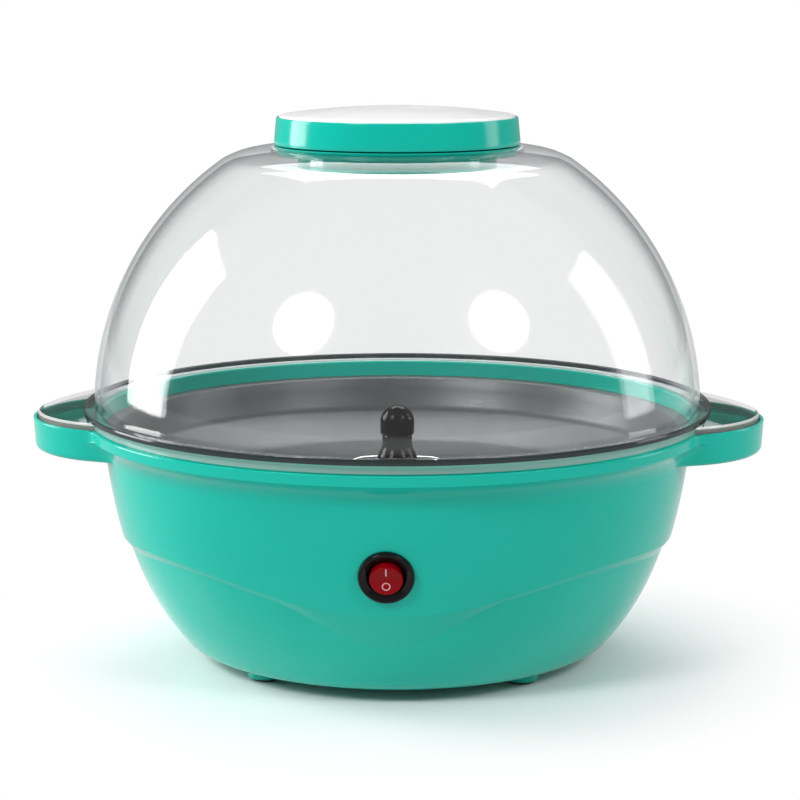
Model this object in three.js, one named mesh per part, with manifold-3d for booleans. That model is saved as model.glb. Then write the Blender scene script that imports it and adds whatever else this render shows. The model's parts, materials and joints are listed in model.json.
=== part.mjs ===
// Domed electric popcorn maker: a heated stirring pan in a plastic bowl, under a clear dome with a cap.
// Millimetres, +Z up. The origin is on the table under the centre of the bowl, +X runs along the two handles
// and the switch faces -Y.
import * as THREE from 'three';
import { mergeVertices } from 'three/addons/utils/BufferGeometryUtils.js';
import Module from 'manifold-3d';

const wasm = await Module();
wasm.setup();

// ---------- driving dimensions ----------
const RIM_Z = 115.3; // underside of the dome's flange
const BOTTOM_Z = 5; // underside of the bowl
const WALL = 2.6; // bowl and cover wall
const GAP = 0.3; // clearance between touching pieces
const SEGMENTS = 40; // facets round the large turned pieces
const HANDLE_SEGMENTS = 28;
const CAP_SEGMENTS = 32;

const BOWL_TOP_R = 138.6; // the bowl's outer wall, carried up to the rim
const BOWL_TAPER = 0.155; // radius lost for each mm down
const BOWL_CURL = 17.9; // extra radius lost 100 mm below the rim
const BOWL_CURL_POWER = 3.57;
const BOWL_EDGE_R = 88; // flat ring under the bowl
const BAND_R = 143.8; // outer edge of the bowl's rim band
const BAND_TOP = -4.5; // heights from here on are below RIM_Z where negative
const BAND_BOTTOM = -9;
const LIP_R = 139.6; // upstanding lip inside the dome's skirt
const LIP_INNER_R = 137.2;
const LEDGE_DROP = -8; // seat of the pan's flange

const HANDLE_X = 119.5; // centre of each round handle
const HANDLE_R = 50.5;
const HANDLE_TOP = -4.2;
const HANDLE_FLOOR = -9;
const HANDLE_BOTTOM = -18.7;
const HANDLE_WALL = 1.8;
const HANDLE_DRAFT = 0.9; // how much narrower a handle is at its lower edge

const DOME_R = 140.3; // outer sphere of the clear dome
const DOME_WALL = 2.4;
const FLANGE_R = 145.2;
const FLANGE_TOP = 2.7;
const SKIRT_R = 142.2;
const SKIRT_INNER_R = 140;
const SKIRT_BOTTOM = -4.1;
const EAR_R = HANDLE_R - HANDLE_WALL - 0.4; // clear ear that nests in the handle's tray
const EAR_CROWN = 9.6;
const EAR_EDGE_TOP = -1.6;
const EAR_EDGE_BOTTOM = -6.6;
const EAR_WALL = 2;

const CAP_SEAT = 117.4; // recess round the dome's top opening
const CAP_R = 56.6;
const OPENING_R = 46;
const NECK_R = OPENING_R - 0.4; // the collar's neck, which drops into the dome's opening
const NECK_WALL = 1.8;
const CAP_TAPER = 1.2; // how much narrower the cap's band is at its top
const CAP_SEAM = 121.6;
const CAP_BAND_TOP = 134.3;
const CAP_CROWN = 139;

const PAN_FLOOR_Z = 78; // underside of the pan's floor
const PAN_WALL = 1.6;
const PAN_FLOOR_R = 98;
const SHAFT_R = 3.5;
const FOOT_XY = 57.5;
const FOOT_R = 8;
const COVER_R = 71.6;
const SWITCH_DROP = -50.1;
const GLAND_DROP = -68;

// ---------- dimensions of the smaller pieces ----------
const PAN_HOLE_R = 6.4;
const PAN_COLLAR_TOP = PAN_FLOOR_Z + 5;
const PAN_FLANGE_R = 136.8;
const STRAP = 0.9; // thickness of the element's straps
const REFLECTOR_Z = PAN_FLOOR_Z - 17;
const REFLECTOR_SHEET = 1;
const SPACER_R = 80;
const MOTOR_Z = 17;
const MOTOR_R = 24;
const GEARBOX_Z = 36;
const FLAT_Z = PAN_FLOOR_Z + 12; // the shaft's flats start here
const SHAFT_TOP = PAN_FLOOR_Z + 22;
const SHAFT_FLAT = 2.4; // half the thickness across the flats
const BUSH_R = 11;
const HUB_Z = PAN_COLLAR_TOP + 2.6;
const HUB_R = 10;
const HUB_HEIGHT = 16;
const KNOB_R = 8;
const KNOB_HEIGHT = 14;
const SOCKET_PLAY = 0.4; // between the shaft and the stirrer's socket
const ARM_R = 2;
const ARM_Z = HUB_Z + 4;
const BEZEL_R = 12;
const BEZEL_TOP = 2.4;
const SWITCH_BARREL_R = 10;
const SWITCH_DEPTH = 18;
const ROCKER_WELL_R = 8.2;
const ROCKER_R = 7.1;
const ROCKER_PIVOT = -3;
const ROCKER_VALLEY = 2.2;
const ROCKER_TILT = THREE.MathUtils.degToRad(8);
const GLAND_BORE_R = 4;
const TERMINAL_Z = BOTTOM_Z + WALL;
const TERMINAL_BORE_Z = 6;
const TERMINAL_PITCH = 9;
const WIRE_R = 1.1;
const ELEMENT_TAIL = 16; // how far the element's ends hang below its ring
const SHOULDER_R = 80; // where the dome's sphere gives way to its flatter top

// ---------- colours ----------
const TEAL = { color: 0x18a390, roughness: 0.22, metalness: 0 };
const WHITE = { color: 0xe4e4e2, roughness: 0.3, metalness: 0 };
const CLEAR = { color: 0xf4f8f8, roughness: 0.03, metalness: 0, transparent: true, opacity: 0.3 };
const BLACK = { color: 0x141414, roughness: 0.4, metalness: 0 };
const RED = { color: 0x9c0414, roughness: 0.2, metalness: 0 };
const NON_STICK = { color: 0x2a2a2c, roughness: 0.45, metalness: 0.3 };
const STEEL = { color: 0xb9bcc0, roughness: 0.3, metalness: 1 };
const ALUMINIUM = { color: 0xc9cbce, roughness: 0.4, metalness: 1 };
const RUBBER = { color: 0x232323, roughness: 0.8, metalness: 0 };
const SILICONE = { color: 0x8e2f24, roughness: 0.7, metalness: 0 };
const CERAMIC = { color: 0xeae6da, roughness: 0.5, metalness: 0 };
const BRASS = { color: 0xc9a35a, roughness: 0.35, metalness: 1 };
const GREY = { color: 0x3c3e40, roughness: 0.5, metalness: 0 };

// ---------- small tools ----------
const popcornMaker = new THREE.Group();

function place(name, geometry, finish, parent = popcornMaker) {
  const mesh = new THREE.Mesh(geometry, new THREE.MeshStandardMaterial(finish));
  mesh.name = name;
  parent.add(mesh);
  return mesh;
}

// A profile of [radius, height] points turned about Z. It closes on itself, or runs from axis to axis.
function turned(profile, segments = SEGMENTS) {
  const points = profile.map(([r, z]) => new THREE.Vector2(r, z));
  if (profile[0][0] > 0 || profile[profile.length - 1][0] > 0) points.push(points[0].clone());
  const geometry = new THREE.LatheGeometry(points, segments);
  geometry.rotateX(Math.PI / 2);
  return geometry;
}

function signedVolume(position, index) {
  const a = new THREE.Vector3();
  const b = new THREE.Vector3();
  const c = new THREE.Vector3();
  let total = 0;
  for (let i = 0; i < index.length; i += 3) {
    a.fromBufferAttribute(position, index[i]);
    b.fromBufferAttribute(position, index[i + 1]);
    c.fromBufferAttribute(position, index[i + 2]);
    total += a.dot(b.cross(c)) / 6;
  }
  return total;
}

// A closed geometry as a solid, its faces turned outward and its flat triangles dropped
function solidOf(geometry) {
  const shape = geometry.clone();
  shape.deleteAttribute('normal');
  shape.deleteAttribute('uv');
  const merged = mergeVertices(shape, 1e-4);
  const source = merged.index.array;
  const faces = [];
  for (let i = 0; i < source.length; i += 3) {
    const [a, b, c] = [source[i], source[i + 1], source[i + 2]];
    if (a !== b && b !== c && c !== a) faces.push(a, b, c);
  }
  if (signedVolume(merged.attributes.position, faces) < 0) faces.reverse();
  const vertProperties = Float32Array.from(merged.attributes.position.array);
  const mesh = new wasm.Mesh({ numProp: 3, vertProperties, triVerts: Uint32Array.from(faces) });
  return new wasm.Manifold(mesh);
}

function geometryOf(solid) {
  const mesh = solid.getMesh();
  const geometry = new THREE.BufferGeometry();
  geometry.setAttribute('position', new THREE.BufferAttribute(Float32Array.from(mesh.vertProperties), 3));
  geometry.setIndex(new THREE.BufferAttribute(Uint32Array.from(mesh.triVerts), 1));
  geometry.computeVertexNormals();
  return geometry;
}

function turnedSolid(profile, segments) {
  return solidOf(turned(profile, segments));
}

function joined(solids) {
  return solids.reduce((whole, solid) => whole.add(solid));
}

function cut(solid, tools) {
  return tools.reduce((rest, tool) => rest.subtract(tool), solid);
}

// A round bar or disc standing on `bottom`
function disc(radius, bottom, top, segments = 24) {
  const geometry = new THREE.CylinderGeometry(radius, radius, top - bottom, segments);
  geometry.rotateX(Math.PI / 2);
  return geometry.translate(0, 0, (bottom + top) / 2);
}

function ring(inner, outer, bottom, top, segments = 24) {
  return turned([[inner, bottom], [outer, bottom], [outer, top], [inner, top]], segments);
}

function block(x, y, bottom, top) {
  return new THREE.BoxGeometry(x, y, top - bottom).translate(0, 0, (bottom + top) / 2);
}

// A round tube along a curve
function tube(curve, radius, steps, sides = 8) {
  const section = new THREE.Shape(
    Array.from({ length: sides }, (_, i) => {
      const angle = (i / sides) * Math.PI * 2;
      return new THREE.Vector2(radius * Math.cos(angle), radius * Math.sin(angle));
    }),
  );
  return new THREE.ExtrudeGeometry(section, { steps, extrudePath: curve });
}

function smoothCurve(points) {
  return new THREE.CatmullRomCurve3(points.map(([x, y, z]) => new THREE.Vector3(x, y, z)));
}

// Points of a round corner: a quarter turn, or part of one, about a centre
function arc(centreR, centreZ, radius, from, to, count) {
  return Array.from({ length: count + 1 }, (_, i) => {
    const angle = THREE.MathUtils.degToRad(from + ((to - from) * i) / count);
    return [centreR + radius * Math.cos(angle), centreZ + radius * Math.sin(angle)];
  });
}

function aroundAxis(count, radius, start, make) {
  for (let i = 0; i < count; i += 1) {
    const angle = THREE.MathUtils.degToRad(start + (360 * i) / count);
    make(radius * Math.cos(angle), radius * Math.sin(angle), i + 1, angle);
  }
}

// ---------- the bowl's wall ----------
function bowlRadius(z) {
  const depth = RIM_Z - z;
  return BOWL_TOP_R - BOWL_TAPER * depth - BOWL_CURL * (depth / 100) ** BOWL_CURL_POWER;
}

function bowlSlope(z) {
  const step = 0.5;
  return Math.atan2(bowlRadius(z + step) - bowlRadius(z - step), 2 * step);
}

// Outer wall from under the rim band to where it curls into the flat ring below
function bowlWall(inset, from, to, count) {
  return Array.from({ length: count + 1 }, (_, i) => {
    const z = from + ((to - from) * i) / count;
    return [bowlRadius(z) - inset / Math.cos(bowlSlope(z)), z];
  });
}

// A frame standing on the bowl's wall: its +Z leaves the wall, its +Y climbs it
function onWall(drop, front) {
  const z = RIM_Z + drop;
  const group = new THREE.Group();
  const side = front ? -1 : 1;
  group.rotation.order = 'ZXY';
  group.rotation.set(Math.PI / 2 + bowlSlope(z), 0, front ? 0 : Math.PI);
  group.position.set(0, side * bowlRadius(z), z);
  group.updateMatrix();
  return group;
}

const switchFrame = onWall(SWITCH_DROP, true);
const glandFrame = onWall(GLAND_DROP, false);
popcornMaker.add(switchFrame, glandFrame);

// ---------- base shell ----------
const CURL_END = 7; // height above the bowl's underside where the wall turns under
const CURL_R = 94; // the wall has nearly reached the flat ring here
const STEP_WIDTH = 5.8; // how far the wall steps in under the rim band
const LIP_TOP = -0.6;
const LIP_SEAT_R = 64; // inner edge of the seat that the bottom cover lies against
const LEDGE_R = 134;
const FOOT_BOTTOM = 0.9;
const PAD_R = 6.6;
const PAD_TOP = 1.7;
const SCREW_CIRCLE_R = 67.8; // the cover's screws stand on this circle
const SCREW_POST_R = 3.6;
const SCREW_POST_TOP = 20;
const SCREW_HOLE_R = 1.9;
const SCREW_R = 1.5;
const COVER_GAP = 0.4;
const SWITCH_HOLE_R = 10.4;
const GLAND_HOLE_R = 7.4;

function bowlOuter() {
  const wall = bowlWall(0, RIM_Z - 14, BOTTOM_Z + CURL_END, 6);
  return [
    [LIP_INNER_R, RIM_Z + LIP_TOP],
    [LIP_R, RIM_Z + LIP_TOP],
    [LIP_R, RIM_Z + BAND_TOP],
    [BAND_R - 0.6, RIM_Z + BAND_TOP],
    [BAND_R, RIM_Z + BAND_TOP - 0.6],
    [BAND_R, RIM_Z + BAND_BOTTOM],
    [BAND_R - STEP_WIDTH / 2, RIM_Z + BAND_BOTTOM - 0.5],
    [BAND_R - STEP_WIDTH, RIM_Z + BAND_BOTTOM - 2.2],
    ...wall,
    [CURL_R, BOTTOM_Z + 1],
    [BOWL_EDGE_R, BOTTOM_Z],
  ];
}

function bowlInner() {
  const wall = bowlWall(WALL, RIM_Z - 18, BOTTOM_Z + CURL_END + 4, 4);
  return [
    [LIP_INNER_R, RIM_Z + LEDGE_DROP],
    [LEDGE_R, RIM_Z + LEDGE_DROP],
    ...wall,
    [CURL_R - 4, BOTTOM_Z + 2 * WALL],
  ];
}

function handle(side) {
  const centre = side * HANDLE_X;
  const top = RIM_Z + HANDLE_TOP;
  const bottom = RIM_Z + HANDLE_BOTTOM;
  const floor = RIM_Z + HANDLE_FLOOR;
  const outerFoot = HANDLE_R - HANDLE_DRAFT;
  const profile = [
    [0, floor],
    [HANDLE_R - HANDLE_WALL, floor],
    [HANDLE_R - HANDLE_WALL, top],
    [HANDLE_R - 0.4, top],
    [HANDLE_R, top - 0.5],
    [outerFoot, bottom + 2.5],
    [outerFoot - 0.8, bottom + 0.7],
    [outerFoot - 2, bottom],
    [outerFoot - HANDLE_WALL - 0.9, bottom + 0.6],
    [HANDLE_R - HANDLE_WALL - 0.8, floor - WALL],
    [0, floor - WALL],
  ];
  return solidOf(turned(profile, HANDLE_SEGMENTS).translate(centre, 0, 0));
}

function baseShell() {
  const inner = bowlInner();
  const profile = [
    ...bowlOuter(),
    [COVER_R + COVER_GAP, BOTTOM_Z],
    [COVER_R + COVER_GAP, BOTTOM_Z + WALL],
    [LIP_SEAT_R, BOTTOM_Z + WALL],
    [LIP_SEAT_R, BOTTOM_Z + 2 * WALL],
    ...inner.slice().reverse(),
  ];
  const hollow = turnedSolid([
    [0, BOTTOM_Z + 2 * WALL],
    ...inner.slice().reverse(),
    [LIP_INNER_R, RIM_Z + 10],
    [0, RIM_Z + 10],
  ]);
  const skirtGroove = solidOf(ring(LIP_R, SKIRT_R + 0.4, RIM_Z + BAND_TOP, RIM_Z + 5, SEGMENTS));
  let shell = joined([turnedSolid(profile), handle(1), handle(-1)]);
  shell = cut(shell, [hollow, skirtGroove]);
  for (const x of [-FOOT_XY, FOOT_XY]) {
    for (const y of [-FOOT_XY, FOOT_XY]) {
      shell = shell.add(solidOf(disc(FOOT_R, FOOT_BOTTOM, BOTTOM_Z + WALL / 2).translate(x, y, 0)));
      shell = shell.subtract(solidOf(disc(PAD_R + GAP, 0, PAD_TOP + GAP).translate(x, y, 0)));
    }
  }
  shell = shell.subtract(solidOf(disc(COVER_R + COVER_GAP, 0, BOTTOM_Z + WALL, SEGMENTS)));
  aroundAxis(4, SCREW_CIRCLE_R, 0, (x, y) => {
    const post = disc(SCREW_POST_R, BOTTOM_Z + 2 * WALL - 1, SCREW_POST_TOP, 12);
    const bore = disc(SCREW_HOLE_R, 0, SCREW_POST_TOP - 3, 12);
    shell = shell.add(solidOf(post.translate(x, y, 0)));
    shell = shell.subtract(solidOf(bore.translate(x, y, 0)));
  });
  const switchHole = disc(SWITCH_HOLE_R, -12, 6, 32).applyMatrix4(switchFrame.matrix);
  const glandHole = disc(GLAND_HOLE_R, -12, 6, 24).applyMatrix4(glandFrame.matrix);
  shell = cut(shell, [solidOf(switchHole), solidOf(glandHole)]);
  place('base_shell', geometryOf(shell), TEAL);
}

function footPads() {
  let number = 1;
  for (const x of [-FOOT_XY, FOOT_XY]) {
    for (const y of [-FOOT_XY, FOOT_XY]) {
      const profile = [[0, 0], [PAD_R - 0.5, 0], [PAD_R, 0.5], [PAD_R, PAD_TOP], [0, PAD_TOP]];
      place(`foot_pad_${number}`, turned(profile, 16), RUBBER).position.set(x, y, 0);
      number += 1;
    }
  }
}

// ---------- bottom cover ----------
const MOTOR_POST_X = 38;
const MOTOR_POST_R = 5;
const BRACKET_Z = 50; // underside of the motor's bracket
const VENT_ROWS = [-50, -42, -34, 27, 35];
const VENT_LENGTH = 44;
const VENT_WIDTH = 3.4;

function bottomCover() {
  const coverTop = BOTTOM_Z + WALL - GAP;
  let cover = solidOf(disc(COVER_R, BOTTOM_Z, coverTop, SEGMENTS));
  for (const x of [-MOTOR_POST_X, MOTOR_POST_X]) {
    const post = disc(MOTOR_POST_R, coverTop - 1, BRACKET_Z - GAP, 16);
    const bore = disc(SCREW_HOLE_R, BRACKET_Z - 14, BRACKET_Z, 12);
    cover = cover.add(solidOf(post.translate(x, 0, 0)));
    cover = cover.subtract(solidOf(bore.translate(x, 0, 0)));
  }
  aroundAxis(4, SCREW_CIRCLE_R, 0, (x, y) => {
    cover = cover.subtract(solidOf(disc(SCREW_HOLE_R, 0, 10, 12).translate(x, y, 0)));
  });
  for (const y of VENT_ROWS) {
    const slot = block(VENT_LENGTH, VENT_WIDTH, 0, 10).translate(0, y, 0);
    cover = cover.subtract(solidOf(slot));
  }
  place('bottom_cover', geometryOf(cover), TEAL);
}

function screw(name, headR, length, sides = 10) {
  const profile = [
    [0, -length],
    [SCREW_R, -length],
    [SCREW_R, 0],
    [headR, 0],
    [headR, 0.9],
    [headR * 0.7, 1.6],
    [0, 1.6],
  ];
  return place(name, turned(profile, sides), STEEL);
}

function coverScrews() {
  aroundAxis(4, SCREW_CIRCLE_R, 0, (x, y, number) => {
    const piece = screw(`cover_screw_${number}`, 3.2, 10);
    piece.rotation.x = Math.PI;
    piece.position.set(x, y, BOTTOM_Z - GAP);
  });
}

// ---------- heating pan and what hangs under it ----------
const PAN_BEND_R = 106; // the floor starts to climb
const PAN_SHOULDER_R = 126; // the steep wall starts
const PAN_WALL_R = 131; // the wall meets the flange

function heatingPan() {
  const flange = RIM_Z + LEDGE_DROP + GAP;
  const profile = [
    [PAN_HOLE_R, PAN_FLOOR_Z],
    [PAN_FLOOR_R, PAN_FLOOR_Z],
    [PAN_BEND_R, PAN_FLOOR_Z + 3],
    [PAN_SHOULDER_R, RIM_Z - 24],
    [PAN_WALL_R, RIM_Z - 10],
    [PAN_WALL_R + 1, flange],
    [PAN_FLANGE_R, flange],
    [PAN_FLANGE_R, flange + PAN_WALL],
    [PAN_WALL_R, flange + PAN_WALL],
    [PAN_WALL_R - PAN_WALL, RIM_Z - 9.4],
    [PAN_SHOULDER_R - PAN_WALL, RIM_Z - 23.4],
    [PAN_BEND_R - 1, PAN_FLOOR_Z + 4.4],
    [PAN_FLOOR_R - 0.5, PAN_FLOOR_Z + PAN_WALL],
    [PAN_HOLE_R + PAN_WALL + 1, PAN_FLOOR_Z + PAN_WALL],
    [PAN_HOLE_R + PAN_WALL, PAN_COLLAR_TOP],
    [PAN_HOLE_R, PAN_COLLAR_TOP],
  ];
  place('heating_pan', turned(profile), NON_STICK);
}

const ELEMENT_R = 62;
const ELEMENT_TUBE_R = 3.2;
const ELEMENT_Z = PAN_FLOOR_Z - 4 * GAP - ELEMENT_TUBE_R;

function heatingElement() {
  const open = THREE.MathUtils.degToRad(32);
  const start = Math.PI / 2 + open;
  const sweep = 2 * Math.PI - 2 * open;
  const points = [];
  const tail = (angle) => [ELEMENT_R * Math.cos(angle), ELEMENT_R * Math.sin(angle)];
  const [x0, y0] = tail(start);
  const [x1, y1] = tail(start + sweep);
  points.push([x0 + 9, y0 + 2, ELEMENT_Z - ELEMENT_TAIL], [x0 + 7.5, y0 + 1.5, ELEMENT_Z - 6]);
  for (let i = 0; i <= 20; i += 1) {
    const angle = start + (sweep * i) / 20;
    points.push([...tail(angle), ELEMENT_Z]);
  }
  points.push([x1 - 7.5, y1 + 1.5, ELEMENT_Z - 6], [x1 - 9, y1 + 2, ELEMENT_Z - ELEMENT_TAIL]);
  place('heating_element', tube(smoothCurve(points), ELEMENT_TUBE_R, 36), STEEL);
}

// A strap bent round the element, in the element's own radial plane
function elementClamps() {
  const half = ELEMENT_TUBE_R + GAP;
  const tab = half + 9; // the strap's screwed-down ends
  const high = PAN_FLOOR_Z - GAP;
  const low = ELEMENT_Z - ELEMENT_TUBE_R - GAP;
  const width = 7;
  const outline = new THREE.Shape([
    [-tab, high], [-tab, high - STRAP], [-half - STRAP, high - STRAP], [-half - STRAP, low - STRAP],
    [half + STRAP, low - STRAP], [half + STRAP, high - STRAP], [tab, high - STRAP], [tab, high],
    [half, high], [half, low], [-half, low], [-half, high],
  ].map(([x, y]) => new THREE.Vector2(x, y)));
  aroundAxis(3, ELEMENT_R, -90, (x, y, number, angle) => {
    const geometry = new THREE.ExtrudeGeometry(outline, { depth: width, bevelEnabled: false });
    geometry.translate(0, 0, -width / 2).rotateX(Math.PI / 2);
    const piece = place(`element_clamp_${number}`, geometry, STEEL);
    piece.position.set(x, y, 0);
    piece.rotation.z = angle;
  });
}

// A shallow aluminium tray under the element, with a hole for the shaft and one for the wiring
function heatReflector() {
  const floorR = SPACER_R + 8;
  const rimR = floorR + 6;
  const tray = turnedSolid([
    [SHAFT_R + 9, REFLECTOR_Z],
    [floorR, REFLECTOR_Z],
    [rimR, REFLECTOR_Z + 7],
    [rimR - 1, REFLECTOR_Z + 7.6],
    [floorR - 0.6, REFLECTOR_Z + REFLECTOR_SHEET],
    [SHAFT_R + 9, REFLECTOR_Z + REFLECTOR_SHEET],
  ], SEGMENTS);
  const wiring = block(64, 26, REFLECTOR_Z - 5, REFLECTOR_Z + 5).translate(0, 57, 0);
  place('heat_reflector', geometryOf(tray.subtract(solidOf(wiring))), ALUMINIUM);
}

function reflectorSpacers() {
  const top = PAN_FLOOR_Z - GAP;
  const bottom = REFLECTOR_Z + REFLECTOR_SHEET + GAP;
  aroundAxis(3, SPACER_R, -30, (x, y, number) => {
    place(`reflector_spacer_${number}`, disc(3.4, bottom, top, 12), STEEL).position.set(x, y, 0);
  });
}

function thermostat() {
  const top = PAN_FLOOR_Z - GAP;
  const profile = [[0, top - 11], [5.5, top - 11], [6, top - 5], [8.4, top - 5], [8.4, top], [0, top]];
  const body = turnedSolid(profile, 20);
  const tabs = solidOf(block(27, 7, top - 1.2, top));
  place('thermostat', geometryOf(body.add(tabs)), GREY).position.set(-25, 14, 0);
}

function thermalFuse() {
  const profile = [[0, -9], [2, -9], [2, -6], [2.8, -6], [2.8, 6], [2, 7], [2, 9], [0, 9]];
  const piece = place('thermal_fuse', turned(profile, 12), CERAMIC);
  piece.rotation.y = Math.PI / 2;
  piece.position.set(-30, -26, PAN_FLOOR_Z - GAP - 2.8);
}

// ---------- gear motor, its bracket and the shaft ----------
const BRACKET_LENGTH = 96;
const BRACKET_WIDTH = 22;
const BRACKET_SHEET = 1.6;

function gearMotor() {
  const can = [
    [0, MOTOR_Z],
    [MOTOR_R - 1.5, MOTOR_Z],
    [MOTOR_R, MOTOR_Z + 1.5],
    [MOTOR_R, GEARBOX_Z - GAP],
    [0, GEARBOX_Z - GAP],
  ];
  place('motor_can', turned(can, 32), STEEL);

  const top = BRACKET_Z - GAP;
  const body = solidOf(disc(MOTOR_R + 1, GEARBOX_Z, top - 2, 32));
  const flange = solidOf(block(64, BRACKET_WIDTH, top - 2.4, top));
  const socket = solidOf(disc(SHAFT_R + GAP, top - 8, top + 1, 16));
  place('gearbox', geometryOf(body.add(flange).subtract(socket)), GREY);
}

function motorBracket() {
  const below = BRACKET_Z - 2;
  const above = BRACKET_Z + 3;
  const bar = solidOf(block(BRACKET_LENGTH, BRACKET_WIDTH, BRACKET_Z, BRACKET_Z + BRACKET_SHEET));
  const folds = [-1, 1].map((side) => {
    const fold = block(BRACKET_LENGTH, 1.4, BRACKET_Z, BRACKET_Z + 4);
    return solidOf(fold.translate(0, side * (BRACKET_WIDTH / 2 - 0.7), 0));
  });
  const shaftHole = solidOf(disc(SHAFT_R + 2, below, above, 20));
  const posts = [-MOTOR_POST_X, MOTOR_POST_X];
  const screwHoles = posts.map((x) => solidOf(disc(SCREW_HOLE_R, below, above, 12).translate(x, 0, 0)));
  const bracket = cut(joined([bar, ...folds]), [shaftHole, ...screwHoles]);
  place('motor_bracket', geometryOf(bracket), STEEL);
  posts.forEach((x, i) => {
    screw(`bracket_screw_${i + 1}`, 3.4, 11).position.set(x, 0, BRACKET_Z + BRACKET_SHEET + GAP);
  });
}

// The drive flats that carry the stirrer round: a bar across the end of a round shaft
function flatted(radius, halfFlat, bottom, top) {
  const round = solidOf(disc(radius, bottom, top, 20));
  return round.intersect(solidOf(block(2 * halfFlat, 4 * radius, bottom, top)));
}

function driveShaft() {
  const bottom = BRACKET_Z - GAP - 7.5;
  const round = solidOf(disc(SHAFT_R, bottom, FLAT_Z, 20));
  const shaft = round.add(flatted(SHAFT_R, SHAFT_FLAT, FLAT_Z - 0.5, SHAFT_TOP));
  place('drive_shaft', geometryOf(shaft), STEEL);
}

function shaftBush() {
  const inner = SHAFT_R + GAP;
  const bush = [
    [inner, PAN_FLOOR_Z - 4],
    [BUSH_R, PAN_FLOOR_Z - 4],
    [BUSH_R, PAN_FLOOR_Z - GAP],
    [PAN_HOLE_R - GAP, PAN_FLOOR_Z - GAP],
    [PAN_HOLE_R - GAP, PAN_COLLAR_TOP - 1],
    [inner, PAN_COLLAR_TOP - 1],
  ];
  place('shaft_bush', turned(bush, 24), BRASS);
  const sealBottom = PAN_COLLAR_TOP + GAP;
  place('shaft_seal', ring(inner, PAN_HOLE_R + PAN_WALL, sealBottom, sealBottom + 1.6, 24), SILICONE);
}

// ---------- stirrer ----------
function stirrer() {
  const hubTop = HUB_Z + HUB_HEIGHT;
  const hub = [
    [0, HUB_Z],
    [HUB_R - 0.5, HUB_Z],
    [HUB_R, HUB_Z + 1],
    [HUB_R - 1.4, HUB_Z + 12],
    [KNOB_R - 1, hubTop],
    [0, hubTop],
  ];
  const socketR = SHAFT_R + SOCKET_PLAY;
  const roundSocket = solidOf(disc(socketR, HUB_Z - 1, FLAT_Z + 0.6, 20));
  const flatSocket = flatted(socketR, SHAFT_FLAT + SOCKET_PLAY, FLAT_Z, SHAFT_TOP + SOCKET_PLAY);
  const armHole = solidOf(disc(ARM_R + GAP, -12, 12, 12).rotateY(Math.PI / 2));
  const armHoles = [-1, 1].map((side) => armHole.translate([side * 18, 0, ARM_Z]));
  const body = cut(turnedSolid(hub, 18), [roundSocket, flatSocket, ...armHoles]);
  place('stirrer_hub', geometryOf(body), BLACK);

  const knobZ = hubTop + GAP;
  const roundR = 4.5;
  const knob = [
    [0, knobZ],
    [KNOB_R - 0.6, knobZ],
    [KNOB_R, knobZ + 3],
    ...arc(KNOB_R - roundR, knobZ + KNOB_HEIGHT - roundR, roundR, 0, 90, 3),
    [0, knobZ + KNOB_HEIGHT],
  ];
  place('stirrer_knob', turned(knob, 18), BLACK);
  stirringArm('stirring_arm_left', -1);
  stirringArm('stirring_arm_right', 1);
}

// A wire that leaves the hub, drops to sweep just above the pan and turns up at its tip
function stirringArm(name, side) {
  const sweepZ = PAN_FLOOR_Z + PAN_WALL + ARM_R + 0.9;
  const route = smoothCurve([
    [6.6, 0, ARM_Z], [12, 0, ARM_Z], [19, 1, ARM_Z - 1], [28, 4, sweepZ + 1], [42, 9, sweepZ],
    [62, 13, sweepZ], [80, 11, sweepZ], [93, 4, sweepZ], [100, -4, sweepZ + 4], [104, -9, sweepZ + 10],
  ].map(([x, y, z]) => [side * x, side * y, z]));
  place(name, tube(route, ARM_R, 20, 6), STEEL);
}

// ---------- rocker switch ----------
function rockerSwitch() {
  const housing = [
    [0, -SWITCH_DEPTH],
    [SWITCH_BARREL_R, -SWITCH_DEPTH],
    [SWITCH_BARREL_R, GAP],
    [BEZEL_R - 0.6, GAP],
    [BEZEL_R, GAP + 0.6],
    [BEZEL_R - 1.2, BEZEL_TOP],
    [ROCKER_WELL_R + 0.6, BEZEL_TOP],
    [ROCKER_WELL_R, BEZEL_TOP - 0.6],
    [ROCKER_WELL_R, ROCKER_PIVOT - 5],
    [0, ROCKER_PIVOT - 5],
  ];
  place('switch_housing', turned(housing, 28), BLACK, switchFrame);

  const body = solidOf(disc(ROCKER_R, ROCKER_PIVOT - 3, 6, 28));
  const faces = [-1, 1].map((side) => {
    const face = new THREE.BoxGeometry(30, 20, 10);
    face.translate(0, 10 * side, 5).rotateX(side * ROCKER_TILT);
    return solidOf(face.translate(0, 0, ROCKER_VALLEY));
  });
  const rocker = geometryOf(cut(body, faces)).translate(0, 0, -ROCKER_PIVOT);
  const piece = place('switch_rocker', rocker, RED, switchFrame);
  piece.position.z = ROCKER_PIVOT;
  piece.rotation.x = ROCKER_TILT;

  [-1, 1].forEach((side, i) => {
    const top = -SWITCH_DEPTH - GAP;
    const tab = block(4.8, 0.8, top - 8, top);
    place(`switch_terminal_${i + 1}`, tab, BRASS, switchFrame).position.y = 4.5 * side;
  });
}

// ---------- inlet gland and wiring ----------
function inlet() {
  const gland = [
    [GLAND_BORE_R, -8],
    [GLAND_HOLE_R - GAP, -8],
    [GLAND_HOLE_R - GAP, 0.8],
    [GLAND_HOLE_R + 2.6, 0.8],
    [GLAND_HOLE_R + 2.6, 2.2],
    [GLAND_HOLE_R + 1.4, 3.4],
    [GLAND_BORE_R + 1, 3.4],
    [GLAND_BORE_R, 2.4],
  ];
  place('cord_gland', turned(gland, 18), BLACK, glandFrame);
}

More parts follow.
